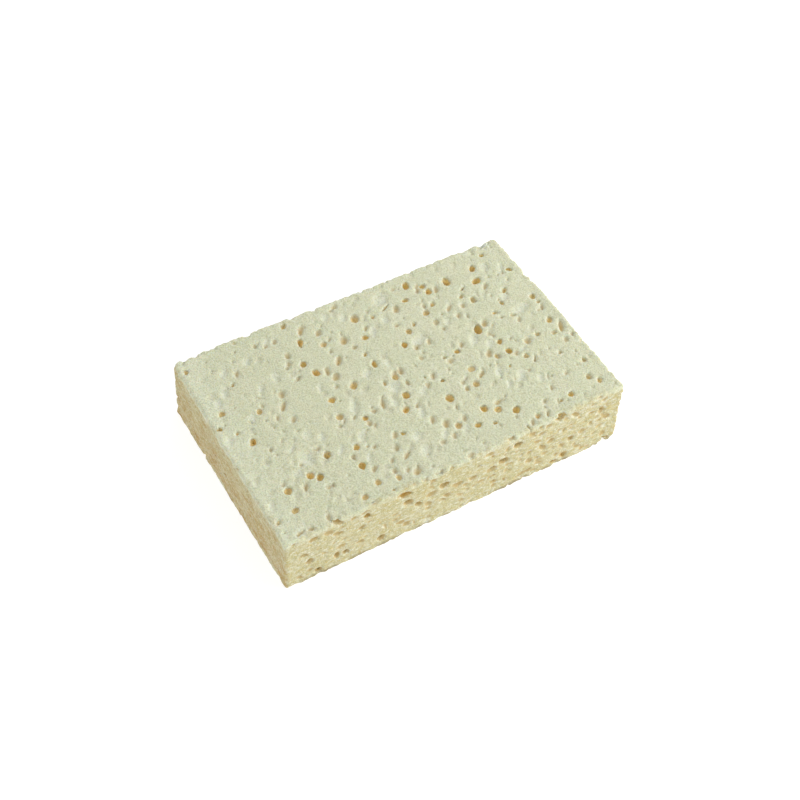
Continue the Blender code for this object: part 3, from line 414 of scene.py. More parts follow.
# Tones that are laid over those of the sides, for what they show; some of them are painted light or shade, as
# marked
TONES = {
    "pale_patch": (0.80, 0.77, 0.58),
    "brown_fleck": (0.68, 0.51, 0.17),
    "pale_fleck": (0.90, 0.90, 0.74),
    "pale_knot": (0.90, 0.90, 0.78),
    "brown_knot": (0.64, 0.51, 0.17),
    "dark_layer": (0.50, 0.34, 0.13),
    "pale_layer": (0.78, 0.74, 0.52),
    "dark_band": (0.50, 0.31, 0.09),
    "pale_band": (0.70, 0.66, 0.40),
    "left_rim": (0.86, 0.90, 0.73),
    "white_dimple": (0.86, 0.88, 0.76),
    "dull_dimple": (0.64, 0.60, 0.41),
    # Painted highlight: the lighter ring round each pore, for its edge catching the light
    "pore_rim_highlight": (0.84, 0.86, 0.71),
    "white_speck": (0.93, 0.95, 0.80),
    "dark_speck": (0.42, 0.42, 0.26),
    # Partly the tan of the foam, partly painted shade in the fine pits that the bump dents
    "pit": (0.50, 0.42, 0.24),
    # Painted contact shadow: the thin dark line along the lower edge, where the block meets the floor
    "contact_shadow": (0.28, 0.23, 0.12),
    # Painted light: a darker tone for the parts of a deep pore where more light reaches in
    "lit_deep_pore": (0.62, 0.46, 0.20),
    "side_pore": (0.62, 0.45, 0.15),
    # Painted light: the tone of a pore's more open parts, where more light reaches in
    "lit_pore": (0.64, 0.57, 0.36),
    "pore_speck": (0.46, 0.33, 0.13),
    "pore_fleck": (0.78, 0.68, 0.40),
}

# The camera, in the turning of an orbit round its target
CAMERA_AZIMUTH = -33.497
CAMERA_ELEVATION = 51.033
CAMERA_ROLL = 4.042
CAMERA_DISTANCE = 0.454716
CAMERA_TARGET = (0.001028, 0.000161, 0.01184)
CAMERA_LENS_MM = 63.756
CAMERA_SENSOR_MM = 36.0

# The light
KEY_PLACE = (0.50, -0.26, 0.34)
WHITE = (1, 1, 1, 1)


class SpongeFoamSizes(bpy.types.PropertyGroup):
    """The sizes and tones of the foam."""

    cell: FloatProperty(
        name="Cell", description="Spacing of the fine mesh before it is thinned",
        default=0.0003, min=0.0002, unit="LENGTH")
    waviness: FloatProperty(
        name="Waviness", description="How far the cut faces rise and fall",
        default=0.00022, min=0, unit="LENGTH")
    torn_edge: FloatProperty(
        name="Torn edge", description="How far the torn edges fall back",
        default=0.00035, min=0, unit="LENGTH")
    edge_crispness: FloatProperty(
        name="Edge crispness", description="How much of the solid's round edges is filled out", default=0.45,
        min=0, max=1)
    grain: FloatProperty(
        name="Grain", description="Height of the finest cells, which are too small for the mesh",
        default=0.0002, min=0, unit="LENGTH")
    skin_tone: FloatVectorProperty(
        name="Skin", description="Colour of the broad faces", subtype="COLOR", size=4,
        default=(0.702, 0.722, 0.516, 1))
    side_tone: FloatVectorProperty(
        name="Long side", description="Colour of the long cut sides", subtype="COLOR", size=4,
        default=(0.572, 0.526, 0.272, 1))
    end_tone: FloatVectorProperty(
        name="End", description="Colour of the two ends, at half their height", subtype="COLOR", size=4,
        default=(0.555, 0.490, 0.232, 1))
    end_low_tone: FloatVectorProperty(
        name="Low end", description="Colour of the two ends, low down", subtype="COLOR", size=4,
        default=(0.535, 0.400, 0.152, 1))
    pore_tone: FloatVectorProperty(
        name="Pore", description="Colour of the floor of a shallow pore", subtype="COLOR", size=4,
        default=(0.750, 0.690, 0.480, 1))
    # Painted light: a bright warm tone that stands in for the light bouncing round inside the deep and
    # enclosed pores
    deep_bounce_tone: FloatVectorProperty(
        name="Deep pore", description="Colour inside a deep pore, where little light comes", subtype="COLOR",
        size=4, default=(1.000, 0.815, 0.400, 1))


class SpongeStageSizes(bpy.types.PropertyGroup):
    """The floor, the light and the tones of the stage."""

    floor_size: FloatProperty(
        name="Floor", description="Side of the square floor", default=12.0, min=1, unit="LENGTH")
    floor_tone: FloatVectorProperty(
        name="Floor colour", description="Colour of the floor", subtype="COLOR", size=4,
        default=(0.48, 0.48, 0.48, 1))
    floor_glow: FloatProperty(
        name="Floor glow", description="How much light the floor gives off, as a light table",
        default=0.72, min=0)
    sky_light: FloatProperty(
        name="Sky", description="Strength of the even light from all round", default=0.72, min=0)
    key_light: FloatProperty(
        name="Key", description="Power of the soft lamp at the front right",
        default=2.6, min=0, unit="POWER")
    key_size: FloatProperty(
        name="Key size", description="Side of the soft lamp", default=0.42, min=0.01, unit="LENGTH")


class Side:
    """One side of the block, as a gently twisted plane fitted to the surface between its pores."""

    FIT_WINDOW = 0.003
    FIT_ROUNDS = 6
    SKIN = 0.00015

    def __init__(self, name, points):
        self.out_axis, self.way, self.right_axis, self.up_axis = SIDES[name]
        self.out = Vector((0, 0, 0))
        self.out[self.out_axis] = self.way
        limit = max(self.way * LOWEST[self.out_axis], self.way * HIGHEST[self.out_axis])
        near = self.way * points[:, self.out_axis] > limit - self.FIT_WINDOW
        for axis in (self.right_axis, self.up_axis):
            near &= points[:, axis] > LOWEST[axis] + self.FIT_WINDOW
            near &= points[:, axis] < HIGHEST[axis] - self.FIT_WINDOW
        kept = points[near]
        for _ in range(self.FIT_ROUNDS):
            terms = self.terms(kept)
            self.shape = np.linalg.lstsq(terms, self.way * kept[:, self.out_axis], rcond=None)[0]
            kept = kept[self.below(kept) < self.SKIN]

    def terms(self, points):
        """What the height of the plane is a sum of: a constant, a slope each way and a twist."""
        right = points[:, self.right_axis]
        up = points[:, self.up_axis]
        return np.stack([np.ones(len(points)), right, up, right * up], axis=1)

    def below(self, points):
        """How far each point lies under this side's surface."""
        return self.terms(points) @ self.shape - self.way * points[:, self.out_axis]

    def point(self, right, up):
        """The place on the surface with these coordinates."""
        place = Vector((0, 0, 0))
        place[self.right_axis] = right
        place[self.up_axis] = up
        height = float((self.terms(np.array([place])) @ self.shape)[0])
        place[self.out_axis] = self.way * height
        return place


def select_only(piece):
    """Leaves this object alone selected, and active."""
    bpy.ops.object.select_all(action="DESELECT")
    piece.select_set(True)
    bpy.context.view_layer.objects.active = piece


def apply_modifier(piece, kind, **settings):
    """Adds a modifier with these settings and applies it."""
    select_only(piece)
    added = piece.modifiers.new(kind.title(), kind)
    for name, value in settings.items():
        setattr(added, name, value)
    bpy.ops.object.modifier_apply(modifier=added.name)


def rows_of(items, name):
    """One vector of each of a mesh's items, as an array of rows."""
    found = np.empty(len(items) * 3, np.float32)
    items.foreach_get(name, found)
    return found.reshape(-1, 3).astype(float)


def points_of(mesh):
    """The places of a mesh's vertices."""
    return rows_of(mesh.vertices, "co")


def normals_of(mesh):
    """The directions that a mesh's vertices face."""
    return rows_of(mesh.vertex_normals, "vector")


def set_points(mesh, points):
    """Moves a mesh's vertices to these places."""
    mesh.vertices.foreach_set("co", points.astype(np.float32).ravel())
    mesh.update()


def pushed_out(mesh, points, amount):
    """These places of a mesh's vertices, each moved out of the surface by an amount."""
    return points + normals_of(mesh) * amount[:, None]


def fine_block(cell):
    """A fine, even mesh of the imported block, as a new object."""
    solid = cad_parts[NODE]
    piece = bpy.data.objects.new("foam_block", solid.data.copy())
    bpy.context.scene.collection.objects.link(piece)
    piece.data.materials.clear()
    select_only(piece)
    bpy.ops.object.mode_set(mode="EDIT")
    bpy.ops.mesh.select_all(action="SELECT")
    bpy.ops.mesh.remove_doubles(threshold=1e-6)
    bpy.ops.object.mode_set(mode="OBJECT")
    apply_modifier(piece, "REMESH", mode="VOXEL", voxel_size=cell, adaptivity=0, use_smooth_shade=True)
    return piece


def smooth_step(values, low, high):
    """0 under low, 1 over high, and a smooth change between."""
    share = np.clip((values - low) / (high - low), 0, 1)
    return share * share * (3 - 2 * share)


def past(values, band):
    """0 before one of BANDS, 1 past it, and a smooth change between."""
    return smooth_step(values, *BANDS[band])


def drift(points, field):
    """A smooth random field from about -1 to 1, with this size of feature and number."""
    size, number = field
    scaled = points / size + number
    return np.array([noise.noise(Vector(place)) for place in scaled])


def under_nearest(points, sides):
    """How far each point lies under the nearest side, and under the next nearest."""
    below = np.sort(np.stack([side.below(points) for side in sides.values()]), axis=0)
    return below[0], below[1]


def under_any(points, sides, names):
    """How far each point lies under the nearest of the named sides."""
    return np.min(np.stack([sides[name].below(points) for name in names]), axis=0)


def spread_out(mesh, values, rounds):
    """Averages a number with what each vertex's neighbours have, this many times."""
    joined = np.empty(len(mesh.edges) * 2, np.int32)
    mesh.edges.foreach_get("vertices", joined)
    first, second = joined.reshape(-1, 2).T
    neighbours = np.bincount(joined, minlength=len(values))
    for _ in range(rounds):
        given = np.bincount(first, values[second], len(values))
        given += np.bincount(second, values[first], len(values))
        values = (values + given / neighbours) / 2
    return values


def soften(piece, rounds):
    """Rounds off the sharp rims."""
    apply_modifier(piece, "SMOOTH", factor=0.5, iterations=rounds)


def sharpen_edges(piece, sides, share):
    """Fills out a share of the rounding along the edges."""
    points = points_of(piece.data)
    moved = points.copy()
    _, from_edge = under_nearest(points, sides)
    near_edge = 1 - past(from_edge, "edge_rounding")
    for side in sides.values():
        below = side.below(points)
        fill = below * near_edge * (1 - past(below, "close_under")) * share
        moved += fill[:, None] * np.array(side.out)
    set_points(piece.data, moved)


def widen_hollows(piece, sides):
    """Opens the solid's own pores a little further."""
    points = points_of(piece.data)
    depth, from_edge = under_nearest(points, sides)
    hollow = past(depth, "pore_wall")
    rim = smooth_step(spread_out(piece.data, hollow, ROUNDS["rim"]), *RIM_SHARES) * (1 - hollow)
    inward = (hollow * WALL_WIDENING + rim * RIM_WIDENING) * past(from_edge, "edge_rounding")
    set_points(piece.data, pushed_out(piece.data, points, -inward))


def draw_apart(piece, sides):
    """Draws the narrow pores of the upper face wider."""
    points = points_of(piece.data)
    on_top = 1 - past(sides["upper"].below(points), "upper_pores")
    for right, up, wider in NARROW_PORES:
        offset = points[:, :2] - np.array((right, up)) * MM
        away = np.maximum(np.linalg.norm(offset, axis=1), 1e-6)
        share = past(away, "narrow_core") * (1 - past(away, "narrow_pull")) * on_top
        points[:, :2] += offset * (share * wider * MM / away)[:, None]
    set_points(piece.data, points)


def pore_row(side, right, up, short, long, turn, kind):
    """One pore to be carved: its place, half sizes, turn, depth and how gently its walls fall."""
    share, easing, spread = kind
    return {
        "side": side, "middle": side.point(right, up), "right": right, "up": up, "short": short / 2 * spread,
        "long": long / 2 * spread, "turn": math.radians(turn), "depth": share * (short + long) / 2,
        "easing": easing, "shallow": kind == DIMPLE, "drawn": False,
    }


def read_pores(side, rows, kind):
    """Pores that are kept in a table, in millimetres."""
    for right, up, short, long, turn in rows:
        yield pore_row(side, right * MM, up * MM, short * MM, long * MM, turn, kind)


def scattered_pores(side, scatter, draw):
    """Pores drawn at random over a side."""
    per_area, smallest, largest, stretch, stray = scatter
    low = (LOWEST[side.right_axis], LOWEST[side.up_axis])
    high = (HIGHEST[side.right_axis], HIGHEST[side.up_axis])
    area = (high[0] - low[0]) * (high[1] - low[1])
    for _ in range(round(per_area * area)):
        size = smallest + (largest - smallest) * draw.random() ** SMALL_BIAS
        right, up = draw.uniform(low[0], high[0]), draw.uniform(low[1], high[1])
        turn = draw.uniform(-stray, stray)
        kind = draw.choice((OPEN, DIMPLE) if size > LARGE_PORE else (DEEP, OPEN, OPEN, DIMPLE))
        pore = pore_row(side, right, up, size / math.sqrt(stretch), size * math.sqrt(stretch), turn, kind)
        yield pore | {"drawn": True}


def small_pores(sides):
    """Every pore that the mesh is to get: the ones in the tables first, then the scattered ones."""
    upper, front = sides["upper"], sides["front"]
    for side, rows, kind in (
            (upper, UPPER_DIMPLES, DIMPLE), (upper, UPPER_OPEN, OPEN), (upper, UPPER_DEEP, DEEP),
            (front, FRONT_OPEN, SIDE_OPEN), (front, FRONT_DEEP, DEEP)):
        yield from read_pores(side, rows, kind)
    draw = random.Random(SCATTER_SEED)
    for name, scatter in SCATTER.items():
        yield from scattered_pores(sides[name], scatter, draw)


def carve(points, found, pore):
    """Pushes the points inside one pore's opening in, to a rounded hollow."""
    side = pore["side"]
    near = points[found]
    right = near[:, side.right_axis] - pore["right"]
    up = near[:, side.up_axis] - pore["up"]
    along = right * math.cos(pore["turn"]) + up * math.sin(pore["turn"])
    across = up * math.cos(pore["turn"]) - right * math.sin(pore["turn"])
    off = np.hypot(along / pore["long"], across / pore["short"])
    inside = np.clip(1 - off ** 2, 0, 1) ** pore["easing"]
    whole = 1 - past(side.below(near), "other_hollow")
    points[found] = near - (inside * whole * pore["depth"])[:, None] * np.array(side.out)
    return inside


def carve_pores(piece, sides):
    """Carves the smaller pores where the solid has no hollow yet, and writes how deep each vertex lies."""
    points = points_of(piece.data)
    solid = points.copy()
    tree = kdtree.KDTree(len(points))
    for index, place in enumerate(points):
        tree.insert(place, index)
    tree.balance()
    taken = points.copy()
    shallow = np.zeros(len(points))
    dish = np.zeros(len(points))
    for pore in small_pores(sides):
        _, nearest, _ = tree.find(pore["middle"])
        before = taken if pore["drawn"] else solid
        if pore["side"].below(before[nearest:nearest + 1])[0] > HOLLOW_ALREADY:
            continue
        found = [index for _, index, _ in tree.find_range(pore["middle"], pore["long"] * SEARCH_SHARE)]
        inside = carve(points, found, pore)
        if pore["shallow"]:
            shallow[found] = np.maximum(shallow[found], np.minimum(1, inside * SHALLOW_GAIN))
            dish[found] += inside if pore["long"] > WHITE_DISH / 2 else -inside
        else:
            shallow[found] *= 1 - inside
        if pore["depth"] > TAKES_ITS_PLACE:
            taken[found] = points[found]
    set_points(piece.data, points)
    depth = toned_depth(points, sides)
    hollow = past(depth, "toned_hollow")
    # The painted highlight: a lighter ring round every hollow, kept as the rim attribute
    rim = np.clip(spread_out(piece.data, hollow, ROUNDS["rim_highlight"]) * RIM_HIGHLIGHT_GAIN, 0, 1) * (1 - hollow)
    write_attributes(piece.data, shallow=shallow, dish=dish, depth=depth / MM, rim=rim)


def toned_depth(points, sides):
    """How deep each vertex counts for its tone: nothing at the worn corner, and more in the narrow pores, so
    that they take more of the painted bounce light.
    """
    depth = under_nearest(points, sides)[0]
    from_worn = sides["right"].below(points) + sides["back"].below(points)
    depth *= past(from_worn, "worn_corner")
    for right, up, _ in NARROW_PORES:
        away = np.hypot(points[:, 0] - right * MM, points[:, 1] - up * MM)
        depth *= NARROW_GAIN - (NARROW_GAIN - 1) * past(away, "narrow_tone")
    return depth


def soften_side_pores(piece, sides):
    """Rounds off the pores of the cut sides, which are softer than those of the broad faces."""
    points = points_of(piece.data)
    cut = under_any(points, sides, CUT_SIDES)
    broad = under_any(points, sides, BROAD_SIDES)
    share = past(cut, "side_wall") * past(broad - cut, "clear_of_broad")
    smooth = [spread_out(piece.data, column, ROUNDS["side_pores"]) for column in points.T]
    set_points(piece.data, points + (np.stack(smooth, axis=1) - points) * share[:, None])


def slope_rims(piece, sides):
    """Lets the surface slope down a little towards every pore."""
    points = points_of(piece.data)
    depth, from_edge = under_nearest(points, sides)
    near = spread_out(piece.data, np.clip(depth, 0, COUNTED_DEPTH), ROUNDS["slope"])
    outside = 1 - past(depth, "pore_slope")
    slope = near * outside * past(from_edge, "edge_rounding") * RIM_SLOPE
    set_points(piece.data, pushed_out(piece.data, points, -slope))


def warp(piece):
    """Draws the surface sideways a little, so that no opening stays a clean oval."""
    points = points_of(piece.data)
    sideways = np.stack([drift(points, field) for field in SIDEWAYS], axis=1)
    low, high = np.array(LOWEST), np.array(HIGHEST)
    inner = np.minimum(points - low, high - points)
    set_points(piece.data, points + sideways * past(inner, "inner_surface") * SIDEWAYS_REACH)


def tear_bits(points):
    """Moves the surface round each torn bit of the edges."""
    for place, reach, move in TORN_BITS:
        away = np.linalg.norm(points - np.array(place) * MM, axis=1)
        near = 1 - smooth_step(away, 0, reach * MM)
        points += near[:, None] * np.array(move) * MM


def wear_surface(piece, sides, sizes):
    """Gives the cut faces their waviness and tears the edges."""
    points = points_of(piece.data)
    _, from_edge = under_nearest(points, sides)
    near_edge = 1 - past(from_edge, "torn_edge")
    off_floor = past(sides["lower"].below(points), "off_floor")
    on_cut = 1 - past(under_any(points, sides, CUT_SIDES), "cut_skin")
    wave = drift(points, WAVE) * 0.5 + drift(points, RIPPLE) * 0.5
    fine = drift(points, FINE)
    bedded = points * BEDDING
    rough = drift(bedded, BEDS) * BED_HEIGHT + np.minimum(0, drift(bedded, BED_PITS)) * BED_PIT_DEPTH
    rough *= 1 - near_edge * EDGE_CALM
    tear = np.clip(drift(points, TEARS) * 0.5 + drift(points, SMALL_TEARS) * 0.9, 0, 1)
    tear *= past(sides["left"].below(points), "off_left")
    rise = (wave * sizes.waviness + fine * FINE_HEIGHT) * off_floor + rough * on_cut
    rise = rise + SKIN_RISE + near_edge * (EDGE_RISE + fine * EDGE_FINE - tear * sizes.torn_edge)
    points = pushed_out(piece.data, points, rise)
    tear_bits(points)
    set_points(piece.data, points)


def stand_on_floor(piece):
    """Lifts what reaches under the floor up to it."""
    points = points_of(piece.data)
    points[:, 2] = np.maximum(points[:, 2], 0)
    set_points(piece.data, points)


def enclosure(mesh, reach=0.005, rays=14, seed=5):
    """How much of the sky over each vertex its surroundings hide, from 0 in the open to 1 deep in a pore."""
    points, normals = points_of(mesh), normals_of(mesh)
    tree = BVHTree.FromPolygons(points.tolist(), [tuple(face.vertices) for face in mesh.polygons])
    draw = np.random.default_rng(seed)
    spread = draw.normal(size=(len(points), rays, 3))
    spread /= np.linalg.norm(spread, axis=2, keepdims=True)
    ways = normals[:, None] * AWAY_FROM_SURFACE + spread
    ways /= np.linalg.norm(ways, axis=2, keepdims=True)
    starts = points + normals * OFF_SURFACE
    hits = np.zeros(len(points))
    for index, (start, some) in enumerate(zip(starts.tolist(), ways.tolist(), strict=True)):
        place = Vector(start)
        hits[index] = sum(tree.ray_cast(place, way, reach)[0] is not None for way in some)
    return hits / rays


def write_attributes(mesh, **kept):
    """Keeps numbers for each vertex, by name, for the material to read."""
    for name, values in kept.items():
        made = mesh.attributes.new(name, "FLOAT", "POINT")
        made.data.foreach_set("value", np.asarray(values, np.float32))


def mark_surface(piece, sides):
    """Writes how enclosed each vertex is, and how far it belongs to a cut side or an end."""
    points = points_of(piece.data)
    below = {name: side.below(points) for name, side in sides.items()}
    broad = np.minimum(below["upper"], below["lower"] + LOWER_NEARER)
    long_side = np.minimum(below["front"], below["back"])
    end = np.minimum(below["left"], below["right"])
    wander = drift(points, SMALL_WANDER) * SMALL_WANDER_REACH + drift(points, WANDER) * WANDER_REACH
    wander += np.where(long_side < end, LONG_SIDE_NEARER, END_NEARER)
    front_left = np.minimum(below["front"], below["left"]) < np.minimum(below["back"], below["right"])
    wander -= np.where(front_left, 0, BACK_RIGHT_FURTHER)
    on_cut = 1 - past(np.minimum(long_side, end), "cut_tone")
    is_side = past(broad + wander, "side_tone") * on_cut
    is_end = past(long_side - end + wander * 0.4, "end_tone")
    write_attributes(piece.data, enclosed=enclosure(piece.data), side=is_side, end=is_end * is_side)


def lay_out_map(mesh, sides):
    """Gives the piece its own map, with each triangle on the part of the map of the side it lies nearest."""
    points = points_of(mesh)
    corners = np.empty(len(mesh.loops), np.int32)
    mesh.loops.foreach_get("vertex_index", corners)
    sizes = np.empty(len(mesh.polygons), np.int32)
    mesh.polygons.foreach_get("loop_total", sizes)
    owner = np.repeat(np.arange(len(sizes)), sizes)
    middles = np.stack([np.bincount(owner, points[corners, axis]) / sizes for axis in range(3)], axis=1)
    nearest = np.argmin(np.stack([side.below(middles) for side in sides.values()]), axis=0)[owner]
    places = np.zeros((len(corners), 2))
    for number, (name, side) in enumerate(sides.items()):
        left, low, turned = MAP_PLACES[name]
        own = nearest == number
        spans = [points[corners[own], axis] - LOWEST[axis] for axis in (side.right_axis, side.up_axis)]
        across, upward = spans[::-1] if turned else spans
        places[own] = np.stack([across / MM + left, upward / MM + low], axis=1) / MAP_SIDE
    made = mesh.uv_layers.new(name="OFBake")
    made.data.foreach_set("uv", places.astype(np.float32).ravel())


class Socket:
    """A value in a material's nodes. Sums on it add Math nodes."""

    def __init__(self, nodes, socket):
        self.nodes = nodes
        self.socket = socket

    def math(self, operation, first, second):
        return self.nodes.add("ShaderNodeMath", {"operation": operation}, first, second)

    def __add__(self, other):
        return self.math("ADD", self, other)

    __radd__ = __add__

    def __sub__(self, other):
        return self.math("SUBTRACT", self, other)

    def __rsub__(self, other):
        return self.math("SUBTRACT", other, self)

    def __mul__(self, other):
        return self.math("MULTIPLY", self, other)

    __rmul__ = __mul__


class Nodes:
    """Adds nodes to one material."""

    def __init__(self, name):
        self.material = bpy.data.materials.new(name)
        self.material.use_nodes = True
        self.tree = self.material.node_tree
        self.shader = self.tree.nodes["Principled BSDF"]

    def add(self, kind, settings, *inputs, output=0, **named):
        """Adds a node: its settings first, then the values or links of its inputs, by place or by name."""
        node = self.tree.nodes.new(kind)
        for name, value in settings.items():
            setattr(node, name, value)
        for place, value in enumerate(inputs):
            self.give(node.inputs[place], value)
        self.fill(node, **named)
        return Socket(self, node.outputs[output])

    def fill(self, node, **named):
        """Gives a node's inputs these values or links, by name."""
        for name, value in named.items():
            self.give(node.inputs[name.replace("_", " ")], value)

    def give(self, target, value):
        """Links a socket, or sets a value."""
        if isinstance(value, Socket):
            self.tree.links.new(value.socket, target)
        else:
            target.default_value = value

    def mix(self, share, first, second):
        """One colour laid over another by a share."""
        node = self.tree.nodes.new("ShaderNodeMix")
        node.data_type = "RGBA"
        for name, value in (("Factor_Float", share), ("A_Color", first), ("B_Color", second)):
            self.give(next(s for s in node.inputs if s.identifier == name), value)
        return Socket(self, next(s for s in node.outputs if s.identifier == "Result_Color"))

    def step(self, value, low, high):
        """0 under low, 1 over high, and a smooth change between."""
        smooth = {"interpolation_type": "SMOOTHSTEP"}
        return self.add("ShaderNodeMapRange", smooth, value, low, high, 0.0, 1.0)

    def attribute(self, name):
        """A number kept on the mesh's vertices."""
        return self.add("ShaderNodeAttribute", {"attribute_name": name}, output=2)

    def in_millimetres(self, stretch=(1, 1, 1)):
        """The place on the object in millimetres, squeezed along each axis by these amounts."""
        place = self.add("ShaderNodeTexCoord", {}, output=3)
        return self.add("ShaderNodeMapping", {}, place, Scale=tuple(amount / MM for amount in stretch))

    def cloud(self, place, per_mm, detail=2.0, roughness=0.5):
        """Soft noise with this many features to a millimetre."""
        return self.add(
            "ShaderNodeTexNoise", {}, Vector=place, Scale=per_mm, Detail=detail, Roughness=roughness)


class FoamNodes(Nodes):
    """The nodes of the foam, with the fields that its tones share."""

    def __init__(self):
        super().__init__(FOAM_SLOT)
        self.place = self.in_millimetres()
        self.bedded = self.in_millimetres(BEDDING)
        self.lengthways = self.add("ShaderNodeSeparateXYZ", {}, self.place, output=0)
        self.height = self.add("ShaderNodeSeparateXYZ", {}, self.place, output=2)
        self.low = self.step(self.height, 21.0, 3.0)
        self.side = self.attribute("side")
        self.end = self.attribute("end")
        self.fleck = self.cloud(self.bedded, 1.1, 3.0, 0.6)
        self.speckle = self.cloud(self.place, 2.1, 1.0)
        # The fine pits, which the bump dents and whose tone is darkened with painted shade
        self.pit = self.cloud(self.place, 1.5, 2.0, 0.7)

    def stain(self, tone, *stains):
        """Lays other tones over one in turn, each by a share and its name in TONES."""
        for share, name in stains:
            tone = self.mix(share, tone, (*TONES[name], 1))
        return tone

    def side_tones(self, sizes):
        """The tones of the broad faces, the long sides and the ends."""
        tone = self.mix(self.side, tuple(sizes.skin_tone), tuple(sizes.side_tone))
        end_tone = self.mix(self.low, tuple(sizes.end_tone), tuple(sizes.end_low_tone))
        return self.mix(self.end, tone, end_tone)

    def mottle(self, tone):
        """Lays lighter and darker patches over a tone: flecks everywhere, layers and bands on the sides."""
        side, end, fleck = self.side, self.end, self.fleck
        long_side = side * (1.0 - end)
        patch = self.cloud(self.bedded, 0.12, 3.0)
        knot = self.cloud(self.bedded, 0.5, 1.0)
        layer = self.cloud(self.in_millimetres((0.7, 0.7, 1.8)), 0.8, 3.0, 0.65)
        band = self.cloud(self.in_millimetres((0.3, 0.3, 0.9)), 0.5, 2.0, 0.6)
        left_rim = self.step(self.lengthways + fleck * 6.0, -44.0, -54.0) * (1.0 - side)
        return self.stain(
            tone,
            (self.step(patch, 0.40, 0.66) * 0.22, "pale_patch"),
            (self.step(fleck, 0.54, 0.72) * (0.12 + side * 0.46), "brown_fleck"),
            (self.step(fleck, 0.47, 0.30) * (0.25 + side * 0.15), "pale_fleck"),
            (self.step(knot, 0.54, 0.70) * long_side * 0.50, "pale_knot"),
            (self.step(knot, 0.48, 0.32) * long_side * 0.50, "brown_knot"),
            (self.step(layer, 0.50, 0.64) * side * (0.20 + end * 0.45), "dark_layer"),
            (self.step(layer, 0.48, 0.34) * side * (0.10 + end * 0.45), "pale_layer"),
            (self.step(band, 0.50, 0.64) * end * (0.40 + self.low * 0.50), "dark_band"),
            (self.step(band, 0.48, 0.36) * end * 0.35, "pale_band"),
            (left_rim * 0.25, "left_rim"),
        )

    def mark_details(self, tone):
        """Lays dimples, painted highlights round the pores, specks, pits with painted shade in them and a
        patchy painted contact shadow along the lower edge over a tone.
        """
        dish = self.attribute("dish")
        # Painted contact shadow along the lower edge, in patches, left off the ends
        shadow_breaks = self.step(self.cloud(self.place, 0.16, 1.0), 0.44, 0.58)
        contact_shadow = self.step(self.height + self.fleck * 2.0, 2.7, 1.7) * shadow_breaks * (1.0 - self.end)
        return self.stain(
            tone,
            (self.step(dish, 0.0, 1.0) * 0.45, "white_dimple"),
            (self.step(dish, 0.0, -1.0) * 0.40, "dull_dimple"),
            # Painted highlight round the pores
            (self.attribute("rim") * 0.40, "pore_rim_highlight"),
            (self.step(self.speckle, 0.52, 0.30) * 0.36, "white_speck"),
            (self.step(self.speckle, 0.50, 0.70) * 0.36, "dark_speck"),
            # Pits: the foam's tan with painted shade in them
            (self.step(self.pit, 0.63, 0.74) * 0.45, "pit"),
            (contact_shadow * 0.70, "contact_shadow"),
        )

    def fill_pores(self, tone, sizes):
        """Lays the tones of the pores over a tone, by how deep they are and how little light comes in:
        painted warm bounce light in the deep and enclosed ones, and painted lit tones where more light
        reaches in.
        """
        depth, enclosed = self.attribute("depth"), self.attribute("enclosed")
        # Painted light: the more enclosed a vertex is, the more it takes the bright bounce tone
        narrow = self.step(enclosed, 0.45, 0.80)
        deep = narrow.math("MAXIMUM", narrow, self.step(depth, 0.8, 1.8))
        hollow = self.stain(
            self.mix(deep, tuple(sizes.pore_tone), tuple(sizes.deep_bounce_tone)),
            (self.step(enclosed, 0.75, 0.35) * deep * 0.55, "lit_deep_pore"),
            (self.side * 0.75, "side_pore"),
            (self.step(enclosed, 0.75, 0.30) * 0.35, "lit_pore"),
            (self.step(self.speckle, 0.50, 0.70) * 0.22, "pore_speck"),
            (self.step(self.fleck, 0.50, 0.36) * self.side * 0.40, "pore_fleck"),
        )
        ragged = (self.speckle - 0.5) * self.side * 0.5
        inside = self.step(depth * (1.0 + self.side * 0.8) + ragged, 0.12, 0.85)
        return self.mix(inside * (1.0 - self.attribute("shallow")), tone, hollow)


def foam_material(sizes):
    """Dry cellulose foam: pale skin, yellower cut sides, tan in the pores with painted light and shade in and
    round them, and a fine matt grain.
    """
    nodes = FoamNodes()
    tone = nodes.mark_details(nodes.mottle(nodes.side_tones(sizes)))
    fine = nodes.cloud(nodes.place, 2.4, 2.0, 0.6)
    relief = fine + nodes.speckle * 1.2 + nodes.fleck * 0.8 - nodes.pit * 0.8
    bump = nodes.add("ShaderNodeBump", {}, Height=relief, Strength=1.0, Distance=sizes.grain)
    nodes.fill(
        nodes.shader, Base_Color=nodes.fill_pores(tone, sizes), Roughness=0.86 + fine * 0.12, Normal=bump,
        Specular_IOR_Level=0.2, Diffuse_Roughness=0.6, Subsurface_Weight=0.4,
        Subsurface_Radius=(1.0, 0.80, 0.50), Subsurface_Scale=0.001)
    return nodes.material


